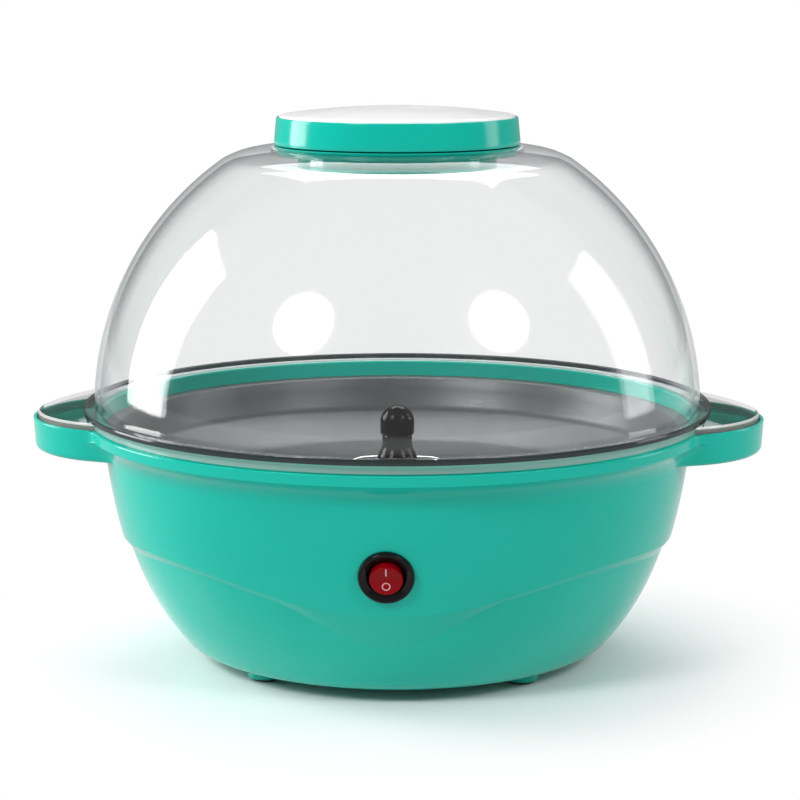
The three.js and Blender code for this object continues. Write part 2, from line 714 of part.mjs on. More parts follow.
function terminalBlock() {
  const body = solidOf(block(30, 14, 0, 12));
  const bores = [-TERMINAL_PITCH, 0, TERMINAL_PITCH].map((x) => {
    const bore = disc(2.2, -8, 8, 12).rotateX(Math.PI / 2);
    return solidOf(bore.translate(x, 0, TERMINAL_BORE_Z));
  });
  place('terminal_block', geometryOf(cut(body, bores)), CERAMIC).position.set(0, 50, TERMINAL_Z);
}

// Each wire ends inside a bore of the terminal block or just short of the piece that it feeds
function innerWires() {
  const boreZ = TERMINAL_Z + TERMINAL_BORE_Z;
  const tailZ = ELEMENT_Z - ELEMENT_TAIL - 1.5;
  const routes = { motor_wire: [[0, 26, 27], [0, 30, 22], [0, 36, 15], [0, 46, boreZ]] };
  for (const [side, hand] of [[-1, 'left'], [1, 'right']]) {
    const bore = TERMINAL_PITCH * side;
    const start = side < 0 ? [0, -102.4, 75.5] : [0, -100.4, 66.6];
    routes[`switch_wire_${hand}`] = [
      start, [4 * side, -99.6, 61], [16 * side, -95, 50], [40 * side, -78, 30], [53 * side, -38, 20],
      [53 * side, 8, 17], [30 * side, 29, 14.5], [bore, 36, boreZ], [bore, 46, boreZ],
    ];
    routes[`element_wire_${hand}`] = [
      [23.9 * side, 55, tailZ], [24.4 * side, 57, 44], [20 * side, 62, 26], [11 * side, 63, 15.5],
      [bore, 54, boreZ],
    ];
  }
  Object.entries(routes).forEach(([name, points]) => {
    place(name, tube(smoothCurve(points), WIRE_R, 2 * points.length, 6), GREY);
  });
}

// ---------- clear dome ----------
function domeOuter() {
  const base = RIM_Z;
  const shoulderAngle = THREE.MathUtils.radToDeg(Math.acos(SHOULDER_R / DOME_R));
  const start = THREE.MathUtils.radToDeg(Math.asin((FLANGE_TOP + 1) / DOME_R));
  return [
    [FLANGE_R, base + FLANGE_TOP - 0.4],
    [FLANGE_R - 0.4, base + FLANGE_TOP],
    [DOME_R + 0.9, base + FLANGE_TOP],
    ...arc(0, base, DOME_R, start, shoulderAngle, 7),
    [SHOULDER_R - 7, base + 118.4],
    [SHOULDER_R - 14, base + 120.1],
    [CAP_R + 1.6, base + 120.5],
    [CAP_R + 0.9, base + CAP_SEAT],
  ];
}

function domeInner() {
  const inner = DOME_R - DOME_WALL;
  const shoulderAngle = THREE.MathUtils.radToDeg(Math.acos(SHOULDER_R / inner));
  return [
    ...arc(0, RIM_Z, inner, 0, shoulderAngle, 6),
    [SHOULDER_R - 8, RIM_Z + CAP_SEAT - 2.7],
    [SHOULDER_R - 14, RIM_Z + CAP_SEAT - DOME_WALL],
    [OPENING_R, RIM_Z + CAP_SEAT - DOME_WALL],
  ];
}

// A crowned clear shell that covers one handle's tray
function ear(side) {
  const crown = (r, drop) => {
    const height = EAR_CROWN * (1 - (r / EAR_R) ** 2);
    return [r, RIM_Z + EAR_EDGE_TOP + height - drop];
  };
  const radii = [0.92, 0.75, 0.5, 0].map((share) => share * EAR_R);
  const profile = [
    [EAR_R - EAR_WALL, RIM_Z + EAR_EDGE_BOTTOM],
    [EAR_R, RIM_Z + EAR_EDGE_BOTTOM],
    [EAR_R, RIM_Z + EAR_EDGE_TOP - 0.4],
    [EAR_R - 0.5, RIM_Z + EAR_EDGE_TOP],
    ...radii.map((r) => crown(r, 0)),
    ...radii.slice().reverse().map((r) => crown(r, EAR_WALL)),
    [EAR_R - EAR_WALL, RIM_Z + EAR_EDGE_TOP - 1.6],
  ];
  return turnedSolid(profile, HANDLE_SEGMENTS).translate([side * HANDLE_X, 0, 0]);
}

function dome() {
  const profile = [
    [SKIRT_INNER_R, RIM_Z],
    [SKIRT_INNER_R, RIM_Z + SKIRT_BOTTOM],
    [SKIRT_R, RIM_Z + SKIRT_BOTTOM],
    [SKIRT_R, RIM_Z],
    [FLANGE_R, RIM_Z],
    ...domeOuter(),
    [OPENING_R, RIM_Z + CAP_SEAT],
    ...domeInner().reverse(),
  ];
  const insideDome = disc(DOME_R - 1, RIM_Z - 1, RIM_Z + 30, SEGMENTS);
  const insideSkirt = disc(SKIRT_R - 1, RIM_Z - 30, RIM_Z, SEGMENTS);
  const overBand = disc(BAND_R + 0.6, RIM_Z - 30, RIM_Z + SKIRT_BOTTOM, SEGMENTS);
  const trims = [insideDome, insideSkirt, overBand].map(solidOf);
  const ears = [1, -1].map((side) => cut(ear(side), trims));
  place('dome', geometryOf(joined([turnedSolid(profile), ...ears])), CLEAR);
}

// ---------- cap ----------
function capCollar() {
  const seat = RIM_Z + CAP_SEAT + GAP;
  const seam = RIM_Z + CAP_SEAM - GAP;
  const profile = [
    [NECK_R - NECK_WALL, RIM_Z + CAP_SEAT - 6],
    [NECK_R, RIM_Z + CAP_SEAT - 6],
    [NECK_R, seat],
    [50, seat],
    [53.6, seat + 0.9],
    [55.8, seat + 2.2],
    [CAP_R, seam],
    [NECK_R - NECK_WALL, seam],
  ];
  place('cap_collar', turned(profile, CAP_SEGMENTS), TEAL);
}

function capBand() {
  const seam = RIM_Z + CAP_SEAM + GAP;
  const top = RIM_Z + CAP_BAND_TOP;
  const plugR = NECK_R - NECK_WALL - GAP;
  const topR = CAP_R - CAP_TAPER;
  const profile = [
    [plugR - 2, RIM_Z + CAP_SEAT - 3],
    [plugR, RIM_Z + CAP_SEAT - 3],
    [plugR, seam],
    [CAP_R - 0.6, seam],
    [CAP_R - 0.1, seam + 0.4],
    [topR, top - 0.5],
    [topR - 0.4, top],
    [topR - 1, top],
    [topR - 1, top - 2.9],
    [topR - 5, top - 2.9],
    [topR - 5, top - 4.4],
    [topR - 2.6, top - 4.4],
    [CAP_R - 3, seam + 2],
    [plugR - 2, seam + 2],
  ];
  place('cap_band', turned(profile, CAP_SEGMENTS), TEAL);
}

function capTop() {
  const edge = RIM_Z + CAP_BAND_TOP;
  const crown = RIM_Z + CAP_CROWN;
  const edgeR = CAP_R - CAP_TAPER - 1 - GAP;
  const bow = (r, height) => [r, edge + height + (crown - edge - 0.8) * (1 - (r / edgeR) ** 2)];
  const radii = [edgeR - 0.6, 38, 20, 0];
  const profile = [
    [edgeR - 2.4, edge - 2.6],
    [edgeR, edge - 2.6],
    [edgeR, edge + 0.3],
    ...radii.map((r) => bow(r, 0.8)),
    ...radii.slice(1).reverse().map((r) => bow(r, -1.4)),
    [edgeR - 2.4, edge - 1.2],
  ];
  place('cap_top', turned(profile, CAP_SEGMENTS), WHITE);
}

// ---------- the whole machine ----------
baseShell();
footPads();
bottomCover();
coverScrews();
heatingPan();
heatingElement();
elementClamps();
heatReflector();
reflectorSpacers();
thermostat();
thermalFuse();
gearMotor();
motorBracket();
driveShaft();
shaftBush();
stirrer();
rockerSwitch();
inlet();
terminalBlock();
innerWires();
dome();
capCollar();
capBand();
capTop();

export default popcornMaker;
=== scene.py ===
import bpy
import json
import math
from mathutils import Matrix, Vector


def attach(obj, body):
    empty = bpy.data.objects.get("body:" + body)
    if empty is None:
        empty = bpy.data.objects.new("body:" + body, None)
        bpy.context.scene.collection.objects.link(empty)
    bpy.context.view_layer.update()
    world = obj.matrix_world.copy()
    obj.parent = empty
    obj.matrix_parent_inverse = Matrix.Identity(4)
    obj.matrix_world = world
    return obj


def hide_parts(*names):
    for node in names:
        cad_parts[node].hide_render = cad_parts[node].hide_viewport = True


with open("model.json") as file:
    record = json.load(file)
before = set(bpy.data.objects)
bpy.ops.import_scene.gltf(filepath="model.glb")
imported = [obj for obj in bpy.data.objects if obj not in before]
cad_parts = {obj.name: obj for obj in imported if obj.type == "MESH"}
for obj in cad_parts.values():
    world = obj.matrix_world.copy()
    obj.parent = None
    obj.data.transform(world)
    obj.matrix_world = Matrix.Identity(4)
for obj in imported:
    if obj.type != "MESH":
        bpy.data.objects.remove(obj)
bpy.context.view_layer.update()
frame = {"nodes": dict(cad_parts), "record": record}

# ---------- units and driving sizes: millimetres in the code, metres in the scene ----------
MM = 0.001
SEGMENTS = 240           # facets round a large turned piece
COLUMNS = 480            # facets round the bowl

# Heights of the bowl, the handles and the dome are above RIM_Z where positive and below it where negative.
RIM_Z = 115.3            # underside of the dome's flange, above the table
BOWL_TOP_R = 138.6       # the bowl's outer wall, carried up to the rim
BOWL_TAPER = 0.155       # radius lost for each mm down
BOWL_CURL = 17.9         # extra radius lost 100 mm below the rim
BOWL_CURL_POWER = 3.57
BOWL_BOTTOM = -110.3
BOWL_EDGE_R = 88.0       # flat ring under the bowl
WALL = 2.6
COVE_START = -22.0       # where the wall begins to flare out to the rim band
COVE_HEIGHT = 12.8
COVE_FLARE = 6.3
LIP_R, LIP_INNER_R, LIP_TOP = 139.6, 137.2, -0.6
SHELF = -4.5             # the ledge that the dome's skirt stands over
SHELF_R = 143.2
BAND_R, BAND_BOTTOM = 143.8, -9.0
COVER_SEAT_R = 72.0

WAVE_TOP, WAVE_END = -21.0, -106.0   # the wall leaves its plain curve between these heights
WAVE_UPPER, WAVE_UPPER_DIP, WAVE_UPPER_WIDTH = -54.0, 15.0, 30.0
WAVE_LOWER, WAVE_LOWER_DIP, WAVE_LOWER_WIDTH = -57.5, 28.5, 19.5

HANDLE_X = 119.5         # centre of each round handle
HANDLE_R, HANDLE_INNER_R = 50.5, 48.7
HANDLE_DRAFT = 0.9
HANDLE_ROLL = 2.2        # fillet round a handle's lower edge
HANDLE_TOP, HANDLE_BOTTOM = -4.2, -18.7
HANDLE_BLEND = 7.0       # how softly a handle runs into the wall
TRAY_FLOOR = -9.0
GRIP_TOP, GRIP_R = -11.6, 47.7

FOOT_XY = 57.5
FOOT_R, FOOT_TOP, FOOT_BOTTOM = 8.0, 5.4, 0.9
PAD_R, PAD_TOP = 6.6, 1.7
CORNERS = ((-1, -1), (1, -1), (-1, 1), (1, 1))

SWITCH_DROP = -50.1
BEZEL_R, BARREL_R, WELL_R = 12.0, 10.0, 8.2
ROCKER_R, ROCKER_VALLEY, ROCKER_PIVOT = 7.1, 2.2, -3.0
ROCKER_TILT = math.radians(8.0)
GLAND_DROP = -68.0

DOME_R, DOME_WALL = 140.3, 2.4
SHOULDER_R = 80.0        # where the dome's sphere gives way to its flatter top
FLANGE_R, FLANGE_TOP = 145.2, 2.7
SKIRT_R, SKIRT_INNER_R, SKIRT_BOTTOM = 142.2, 140.0, -4.1
EAR_R, EAR_CROWN, EAR_WALL = 48.3, 9.6, 1.9
EAR_EDGE_TOP, EAR_EDGE_BOTTOM = -1.6, -6.6

CAP_SEAT, CAP_SEAM, CAP_BAND_TOP, CAP_CROWN = 117.4, 121.6, 134.3, 139.0
CAP_R, CAP_TAPER, OPENING_R = 56.6, 1.2, 46.0

# Heights of the pieces from here on are above the table.
PAN_FLOOR, PAN_WALL = 78.0, 1.6
ARM_R, ARM_Z, ARM_LOW = 2.0, 89.6, 82.5
HUB_R, KNOB_R, KNOB_CENTRE = 10.0, 8.0, 107.9
COVER_R, COVER_BOTTOM, COVER_TOP = 71.6, 5.0, 7.3
VENT_ROWS, VENT_LENGTH, VENT_WIDTH = (-50, -42, -34, 27, 35), 44.0, 3.4
SCREW_CIRCLE_R, SCREW_HOLE_R, SCREW_R = 67.8, 1.9, 3.2

# metres
CAMERA_RANGE, CAMERA_HEIGHT, CAMERA_SIDESTEP = 1.1395, 0.3148, 0.00125
CAMERA_PITCH, CAMERA_TURN = math.radians(9.80), math.radians(2.0)
CAMERA_LENS, CAMERA_SENSOR = 111.6, 36
FLOOR_RADIUS, FLOOR_LEVEL = 4.0, -0.0002
FLOOR_SHADE_START, FLOOR_SHADE_END = 0.095, 0.22
FLOOR_BOUNCE = 0.8       # how bright the floor is to light and reflections
SURROUND_BOUNCE = 0.3    # and the surroundings


# ---------- mesh tools ----------
def new_object(name, verts, faces, smooth_angle=38):
    mesh = bpy.data.meshes.new(name)
    mesh.from_pydata([(x * MM, y * MM, z * MM) for x, y, z in verts], [], faces)
    mesh.validate()
    return finish_mesh(name, mesh, smooth_angle)


def finish_mesh(name, mesh, smooth_angle=38):
    for face in mesh.polygons:
        face.use_smooth = True
    mesh.set_sharp_from_angle(angle=math.radians(smooth_angle))
    obj = bpy.data.objects.new(name, mesh)
    bpy.context.scene.collection.objects.link(obj)
    return obj


def rounded(corners, steps=4):
    """A closed outline of (r, z, fillet) corners, with each fillet drawn as a short curve."""
    outline = []
    count = len(corners)
    for i, (r, z, fillet) in enumerate(corners):
        here = Vector((r, z))
        if fillet <= 0:
            outline.append((r, z))
            continue
        before = Vector(corners[i - 1][:2]) - here
        after = Vector(corners[(i + 1) % count][:2]) - here
        half = before.angle(after) / 2
        reach = min(fillet / math.tan(half), before.length * 0.49, after.length * 0.49)
        start = here + before.normalized() * reach
        end = here + after.normalized() * reach
        for k in range(steps + 1):
            t = k / steps
            point = start * (1 - t) ** 2 + here * 2 * t * (1 - t) + end * t * t
            outline.append((point.x, point.y))
    return outline


def turn(name, outline, segments=SEGMENTS, matrix=None, smooth_angle=38):
    """Turns a closed outline of (r, z) points about Z. Points on the axis close the solid there."""
    verts = []
    rings = []
    for r, z in outline:
        if r < 1e-6:
            rings.append([len(verts)])
            verts.append((0.0, 0.0, z))
            continue
        rings.append(list(range(len(verts), len(verts) + segments)))
        for k in range(segments):
            angle = 2 * math.pi * k / segments
            verts.append((r * math.cos(angle), r * math.sin(angle), z))
    faces = []
    count = len(rings)
    for i in range(count):
        a, b = rings[i], rings[(i + 1) % count]
        if len(a) == 1 and len(b) == 1:
            continue
        for k in range(segments):
            n = (k + 1) % segments
            if len(a) == 1:
                faces.append((a[0], b[n], b[k]))
            elif len(b) == 1:
                faces.append((a[k], a[n], b[0]))
            else:
                faces.append((a[k], a[n], b[n], b[k]))
    obj = new_object(name, verts, faces, smooth_angle)
    face_outward(obj.data)
    if matrix is not None:
        obj.data.transform(matrix)
    return obj


def face_outward(mesh):
    """Flips a closed mesh if its volume is negative."""
    total = 0.0
    for face in mesh.polygons:
        ring = [mesh.vertices[i].co for i in face.vertices]
        for i in range(1, len(ring) - 1):
            total += ring[0].dot(ring[i].cross(ring[i + 1]))
    if total < 0:
        mesh.flip_normals()


def boolean(obj, tool, operation="DIFFERENCE", smooth_angle=38):
    """Cuts or joins obj with tool, applies it and removes the tool."""
    change = obj.modifiers.new("cut", "BOOLEAN")
    change.operation = operation
    change.solver = "EXACT"
    change.object = tool
    depsgraph = bpy.context.evaluated_depsgraph_get()
    result = bpy.data.meshes.new_from_object(obj.evaluated_get(depsgraph))
    obj.modifiers.clear()
    obj.data = result
    for face in result.polygons:
        face.use_smooth = True
    result.set_sharp_from_angle(angle=math.radians(smooth_angle))
    bpy.data.objects.remove(tool)
    return obj


def clamp(value, low=0.0, high=1.0):
    return max(low, min(high, value))


def smooth_step(value):
    t = clamp(value)
    return t * t * (3 - 2 * t)


def smooth_max(a, b, width):
    blend = max(width - abs(a - b), 0.0) / width
    return max(a, b) + blend * blend * width / 4


def mix(a, b, share):
    return a + (b - a) * share


def arc(centre_r, centre_z, radius, start, end, steps):
    angles = [math.radians(mix(start, end, k / steps)) for k in range(steps + 1)]
    return [(centre_r + radius * math.cos(a), centre_z + radius * math.sin(a)) for a in angles]


# ---------- the bowl ----------
def bowl_radius(z):
    depth = -z
    return BOWL_TOP_R - BOWL_TAPER * depth - BOWL_CURL * (max(depth, 0) / 100) ** BOWL_CURL_POWER


def wave_side_drop(angle_from_front):
    """Nought in front and one at the handles, where both lines run a little lower."""
    return smooth_step((angle_from_front - 50) / 30)


def crease_upper(angle_from_front):
    """Height of the upper line of the moulded wave, by degrees from the front or back."""
    dip = WAVE_UPPER_DIP * math.exp(-((angle_from_front / WAVE_UPPER_WIDTH) ** 2.4))
    return WAVE_UPPER - dip - 2.5 * wave_side_drop(angle_from_front)


def crease_lower(angle_from_front):
    dip = WAVE_LOWER_DIP * math.exp(-((angle_from_front / WAVE_LOWER_WIDTH) ** 2))
    wave = WAVE_LOWER - dip - 4 * wave_side_drop(angle_from_front)
    return min(wave, crease_upper(angle_from_front) - 1.8)


def lobe(radius, angle):
    """Distance from the bowl's axis to the far side of a round handle, or 0 where a ray misses it."""
    across = HANDLE_X * math.sin(angle)
    if abs(across) >= radius:
        return 0.0
    return HANDLE_X * abs(math.cos(angle)) + math.sqrt(radius * radius - across * across)


def handle_radius(z):
    drafted = mix(HANDLE_R, HANDLE_R - HANDLE_DRAFT, (HANDLE_TOP - z) / (HANDLE_TOP - HANDLE_BOTTOM))
    below = clamp(HANDLE_BOTTOM + HANDLE_ROLL - z, 0, HANDLE_ROLL * 0.98)
    return drafted - (HANDLE_ROLL - math.sqrt(HANDLE_ROLL ** 2 - below * below))


def wall_with_cove(z):
    """The bowl's wall where it flares out to the step under the rim band."""
    flare = clamp((z - COVE_START) / COVE_HEIGHT)
    return bowl_radius(z) + COVE_FLARE * flare ** 3


def crease_offset(z, upper, lower):
    """The wall swells down to the wave's upper line, steps back to its lower line and then recovers."""
    step = min(2.3, (upper - lower) * 0.5)
    proud, sunk = 0.35 * step, -0.65 * step
    if z > upper:
        return proud * clamp((WAVE_TOP - z) / (WAVE_TOP - upper))
    if z > lower:
        return mix(sunk, proud, (z - lower) / (upper - lower))
    return sunk * clamp((z - WAVE_END) / (lower - WAVE_END))


def rim_section(angle, tray_r):
    """The lip, the shelf and the band's top edge, which drops into a handle's tray and rises at its lip."""
    tray = smooth_step((tray_r - BAND_R - 0.6) / 2.5)
    root = smooth_step((lobe(HANDLE_R, angle) - BAND_R + 0.8) / 3)
    inner = max(tray_r, BAND_R - 0.35)
    lip_out = smooth_max(BAND_R, lobe(HANDLE_R, angle), 3.0)
    top = mix(SHELF - 0.14, HANDLE_TOP, root)
    points = [(LIP_INNER_R, LIP_TOP - 0.4), (LIP_INNER_R + 0.4, LIP_TOP), (LIP_R - 0.4, LIP_TOP)]
    points += [(LIP_R, LIP_TOP - 0.4), (LIP_R, SHELF + 0.3), (LIP_R + 0.3, SHELF), (SHELF_R - 0.6, SHELF)]
    plain = [(SHELF_R + r, SHELF - drop) for r, drop in
             ((0, 0.02), (0.1, 0.04), (0.16, 0.06), (0.2, 0.08), (0.24, 0.1), (0.28, 0.12), (0.3, 0.14))]
    in_tray = [(SHELF_R + 0.1, SHELF - 0.02), (BAND_R, TRAY_FLOOR + 0.5), (BAND_R + 0.4, TRAY_FLOOR),
               (inner - 0.5, TRAY_FLOOR), (inner, TRAY_FLOOR + 0.5), (inner + 0.05, HANDLE_TOP - 0.3),
               (inner + 0.35, HANDLE_TOP)]
    points += [(mix(a[0], b[0], tray), mix(a[1], b[1], tray)) for a, b in zip(plain, in_tray)]
    return points + [(lip_out - 0.35, top), (lip_out - 0.1, top - 0.12), (lip_out, top - 0.4)]


def handle_section(angle):
    """The band and the handle's outside, blended into the wall, and the finger grip under the handle."""
    points = []
    for z in (-5.6, -7.0, -8.4, BAND_BOTTOM):
        points.append((smooth_max(BAND_R, lobe(handle_radius(z), angle), 3.0), z))
    for z in (-9.25, -9.6, -10.2, -11.0, -12.2, -13.4, -14.6, -15.8, -16.7, -17.4, -18.0, -18.4):
        points.append((smooth_max(wall_with_cove(z), lobe(handle_radius(z), angle), HANDLE_BLEND), z))
    grip_r = lobe(GRIP_R, angle)
    wall_r = bowl_radius(HANDLE_BOTTOM)
    grip = smooth_step((grip_r - wall_r - 1.5) / 7)
    low = HANDLE_BOTTOM
    points.append((smooth_max(wall_r, lobe(handle_radius(low), angle), HANDLE_BLEND), low))
    # past the handle's ends the grip closes up to a short step of the plain wall
    points.append((mix(wall_r - 0.02, grip_r + 0.3, grip), low - mix(0.3, 0.0, grip)))
    points.append((mix(wall_r - 0.05, grip_r, grip), mix(low - 0.5, low + 0.4, grip)))
    for share in (0.35, 0.75):
        z = mix(low - 0.6 - 0.2 * share, mix(low, GRIP_TOP, share), grip)
        points.append((mix(bowl_radius(z), grip_r, grip), z))
    points.append((mix(wall_r - 0.2, grip_r, grip), mix(low - 0.9, GRIP_TOP - 0.8, grip)))
    points.append((mix(wall_r - 0.22, grip_r - 0.8, grip), mix(low - 1.0, GRIP_TOP, grip)))
    points.append((mix(wall_r - 0.24, bowl_radius(GRIP_TOP), grip), mix(low - 1.1, GRIP_TOP, grip)))
    for share in (0.1, 0.35, 0.7):
        z = mix(low - 1.2 - share, mix(GRIP_TOP, low - 2.0, share), grip)
        points.append((bowl_radius(z), z))
    return points


def wave_section(angle):
    """The wall, with the moulded wave between its two lines."""
    from_front = abs(90 - math.degrees(math.acos(abs(math.cos(angle)))))
    upper, lower = crease_upper(from_front), crease_lower(from_front)
    rows = [mix(WAVE_TOP, upper + 1.2, k / 9) for k in range(10)]
    rows += [upper + 0.5, upper, upper - 0.35]
    rows += [mix(upper, lower, share) for share in (0.25, 0.4, 0.6, 0.75)]
    rows += [lower + 0.35, lower, lower - 0.5]
    rows += [mix(lower - 1.2, WAVE_END, k / 14) for k in range(15)]
    return [(bowl_radius(z) + crease_offset(z, upper, lower), z) for z in rows]


def underside_section():
    """The rounded edge, the underside's ring, the seat of the bottom cover and the inside."""
    start = Vector((bowl_radius(WAVE_END), WAVE_END))
    bend = Vector((BOWL_EDGE_R + 8, BOWL_BOTTOM))
    end = Vector((BOWL_EDGE_R, BOWL_BOTTOM))
    points = []
    for k in range(1, 9):
        t = k / 8
        point = start * (1 - t) ** 2 + bend * 2 * t * (1 - t) + end * t * t
        points.append((point.x, point.y))
    seat_inner = COVER_SEAT_R - 8
    points += [(80.0, BOWL_BOTTOM), (COVER_SEAT_R + 0.3, BOWL_BOTTOM), (COVER_SEAT_R, BOWL_BOTTOM + 0.3)]
    points += [(COVER_SEAT_R, BOWL_BOTTOM + WALL), (seat_inner, BOWL_BOTTOM + WALL)]
    points += [(seat_inner, BOWL_BOTTOM + 2 * WALL), (86.0, BOWL_BOTTOM + 2 * WALL)]
    points += [(94.0, BOWL_BOTTOM + 7.5)]
    for k in range(9):
        z = mix(-101.0, -20.0, k / 8)
        points.append((bowl_radius(z) - WALL * 1.1 - 0.8, z))
    return points + [(134.0, -12.0), (134.0, -8.0), (LIP_INNER_R, -8.0)]


def bowl_column(angle):
    """The bowl's closed section at one angle."""
    tray_r = lobe(HANDLE_INNER_R, angle)
    return rim_section(angle, tray_r) + handle_section(angle) + wave_section(angle) + underside_section()


def make_bowl():
    columns = [bowl_column(2 * math.pi * k / COLUMNS) for k in range(COLUMNS)]
    rows = len(columns[0])
    verts = []
    for k, column in enumerate(columns):
        angle = 2 * math.pi * k / COLUMNS
        for r, z in column:
            verts.append((r * math.cos(angle), r * math.sin(angle), RIM_Z + z))
    faces = []
    for k in range(COLUMNS):
        a, b = k * rows, ((k + 1) % COLUMNS) * rows
        for i in range(rows):
            n = (i + 1) % rows
            faces.append((a + i, a + n, b + n, b + i))
    bowl = new_object("bowl_shell", verts, faces, 30)
    face_outward(bowl.data)
    return bowl


# ---------- frames on the wall ----------
def wall_frame(drop, front):
    """A frame standing on the bowl's wall: +Z leaves the wall and +Y climbs it."""
    step = 0.5
    slope = math.atan2(bowl_radius(drop + step) - bowl_radius(drop - step), 2 * step)
    side = -1 if front else 1
    place = Matrix.Translation(Vector((0, side * bowl_radius(drop), RIM_Z + drop)) * MM)
    spin = Matrix.Rotation(0 if front else math.pi, 4, "Z")
    tilt = Matrix.Rotation(math.pi / 2 + slope, 4, "X")
    return place @ spin @ tilt


SWITCH_FRAME = wall_frame(SWITCH_DROP, True)
GLAND_FRAME = wall_frame(GLAND_DROP, False)


def rod(name, radius, bottom, top, segments=64, matrix=None):
    return turn(name, [(0, bottom), (radius, bottom), (radius, top), (0, top)], segments, matrix)


# ---------- material tools ----------
def material(name):
    made = bpy.data.materials.new(name)
    made.use_nodes = True
    made.node_tree.nodes.clear()
    return made


def node(mat, kind, inputs=(), **settings):
    made = mat.node_tree.nodes.new(kind)
    for key, value in settings.items():
        setattr(made, key, value)
    for key, value in dict(inputs).items():
        if isinstance(value, bpy.types.NodeSocket):
            mat.node_tree.links.new(value, made.inputs[key])
        else:
            made.inputs[key].default_value = value
    return made


def noise(mat, scale, detail=3.0, rough=0.5, stretch=(1, 1, 1)):
    place = node(mat, "ShaderNodeTexCoord")
    mapping = node(mat, "ShaderNodeMapping", {"Vector": place.outputs["Object"], "Scale": stretch})
    made = node(mat, "ShaderNodeTexNoise",
                {"Vector": mapping.outputs[0], "Scale": scale, "Detail": detail, "Roughness": rough})
    return made.outputs["Fac"]


def spread(mat, value, low, high, start=0.3, end=0.7):
    made = node(mat, "ShaderNodeMapRange", {"Value": value, "From Min": start, "From Max": end,
                                            "To Min": low, "To Max": high})
    return made.outputs["Result"]


def tint(mat, value, first, second, start=0.3, end=0.7):
    share = spread(mat, value, 0.0, 1.0, start, end)
    made = node(mat, "ShaderNodeMix", data_type="RGBA")
    mat.node_tree.links.new(share, made.inputs[0])
    made.inputs[6].default_value = (*first, 1)
    made.inputs[7].default_value = (*second, 1)
    return made.outputs[2]


def bump(mat, height, distance, strength=0.5):
    made = node(mat, "ShaderNodeBump", {"Height": height, "Distance": distance, "Strength": strength})
    return made.outputs["Normal"]


def shaded(mat, **inputs):
    """Ends a material in one Principled surface, with the inputs given by their names."""
    names = {key.replace("_", " ").title(): value for key, value in inputs.items()}
    names = {key.replace("Ior", "IOR"): value for key, value in names.items()}
    surface = node(mat, "ShaderNodeBsdfPrincipled", names)
    node(mat, "ShaderNodeOutputMaterial", {"Surface": surface.outputs[0]})
    return mat


def linear(red, green, blue):
    """Turns an sRGB colour of 0 to 255 into the scene's linear colour."""
    def one(value):
        value = value / 255
        return value / 12.92 if value <= 0.04045 else ((value + 0.055) / 1.055) ** 2.4
    return one(red), one(green), one(blue)


def moulded(name, colour, second=None, roughness=(0.2, 0.3), grain=0.00004, grain_scale=900, gloss=0.5,
            subsurface=0.0):
    """Injection-moulded plastic: slow waves from shrinkage, fine grain and a few duller patches."""
    mat = material(name)
    second = second or tuple(value * 0.9 for value in colour)
    broad = noise(mat, 9, 2)
    fine = noise(mat, grain_scale, 2)
    patch = noise(mat, 34, 4, 0.65)
    waves = bump(mat, noise(mat, 16, 1), 0.0004, 0.10)
    surface = node(mat, "ShaderNodeBump", {"Height": fine, "Distance": grain, "Strength": 0.35,
                                           "Normal": waves})
    inputs = {
        "base_color": tint(mat, broad, colour, second),
        "roughness": spread(mat, patch, *roughness),
        "normal": surface.outputs["Normal"],
        "specular_ior_level": gloss,
    }
    if subsurface:
        inputs["subsurface_weight"] = subsurface
        inputs["subsurface_scale"] = 0.004
    return shaded(mat, **inputs)


def metal(name, colour, roughness, brush=None, scale=240, depth=0.00003, second=None, metallic=1.0):
    """Metal with brushing or rolling marks along one way, and faint blotches."""
    mat = material(name)
    marks = noise(mat, scale, 3, 0.6, brush or (1, 1, 1))
    blotch = noise(mat, 28, 3)
    second = second or tuple(value * 0.82 for value in colour)
    return shaded(mat, base_color=tint(mat, blotch, colour, second), metallic=metallic,
                  roughness=spread(mat, marks, *roughness), normal=bump(mat, marks, depth, 0.4))


# ---------- materials ----------
def clear_plastic(name, face_tone, edge_tone, mirror, ramp_span=(0.72, 0.985)):
    """Clear polycarbonate, seen straight through. It gathers a tone and mirrors more towards its edges. A
    dark face tone is painted shade on what is seen through it.
    """
    mat = material(name)
    facing = node(mat, "ShaderNodeLayerWeight", {"Blend": 0.5}).outputs["Facing"]
    tone = node(mat, "ShaderNodeValToRGB", {"Fac": facing})
    ramp = tone.color_ramp
    ramp.elements[0].position = ramp_span[0]
    ramp.elements[0].color = (*face_tone, 1)
    ramp.elements[1].position = ramp_span[1]
    ramp.elements[1].color = (*edge_tone, 1)
    waves = bump(mat, noise(mat, 14, 1), 0.0005, 0.12)
    grazing = node(mat, "ShaderNodeMath", {0: facing, 1: 5.0}, operation="POWER")
    shine = node(mat, "ShaderNodeMapRange", {"Value": grazing.outputs[0], "To Min": mirror[0],
                                             "To Max": mirror[1]})
    through = node(mat, "ShaderNodeBsdfTransparent", {"Color": tone.outputs["Color"]})
    haze = noise(mat, 60, 3)
    gloss = node(mat, "ShaderNodeBsdfPrincipled", {
        "Base Color": (1, 1, 1, 1), "Metallic": 1.0,
        "Roughness": spread(mat, haze, 0.05, 0.09), "Normal": waves})
    blend = node(mat, "ShaderNodeMixShader", {"Fac": shine.outputs[0]})
    mat.node_tree.links.new(through.outputs[0], blend.inputs[1])
    mat.node_tree.links.new(gloss.outputs[0], blend.inputs[2])
    node(mat, "ShaderNodeOutputMaterial", {"Surface": blend.outputs[0]})
    return mat


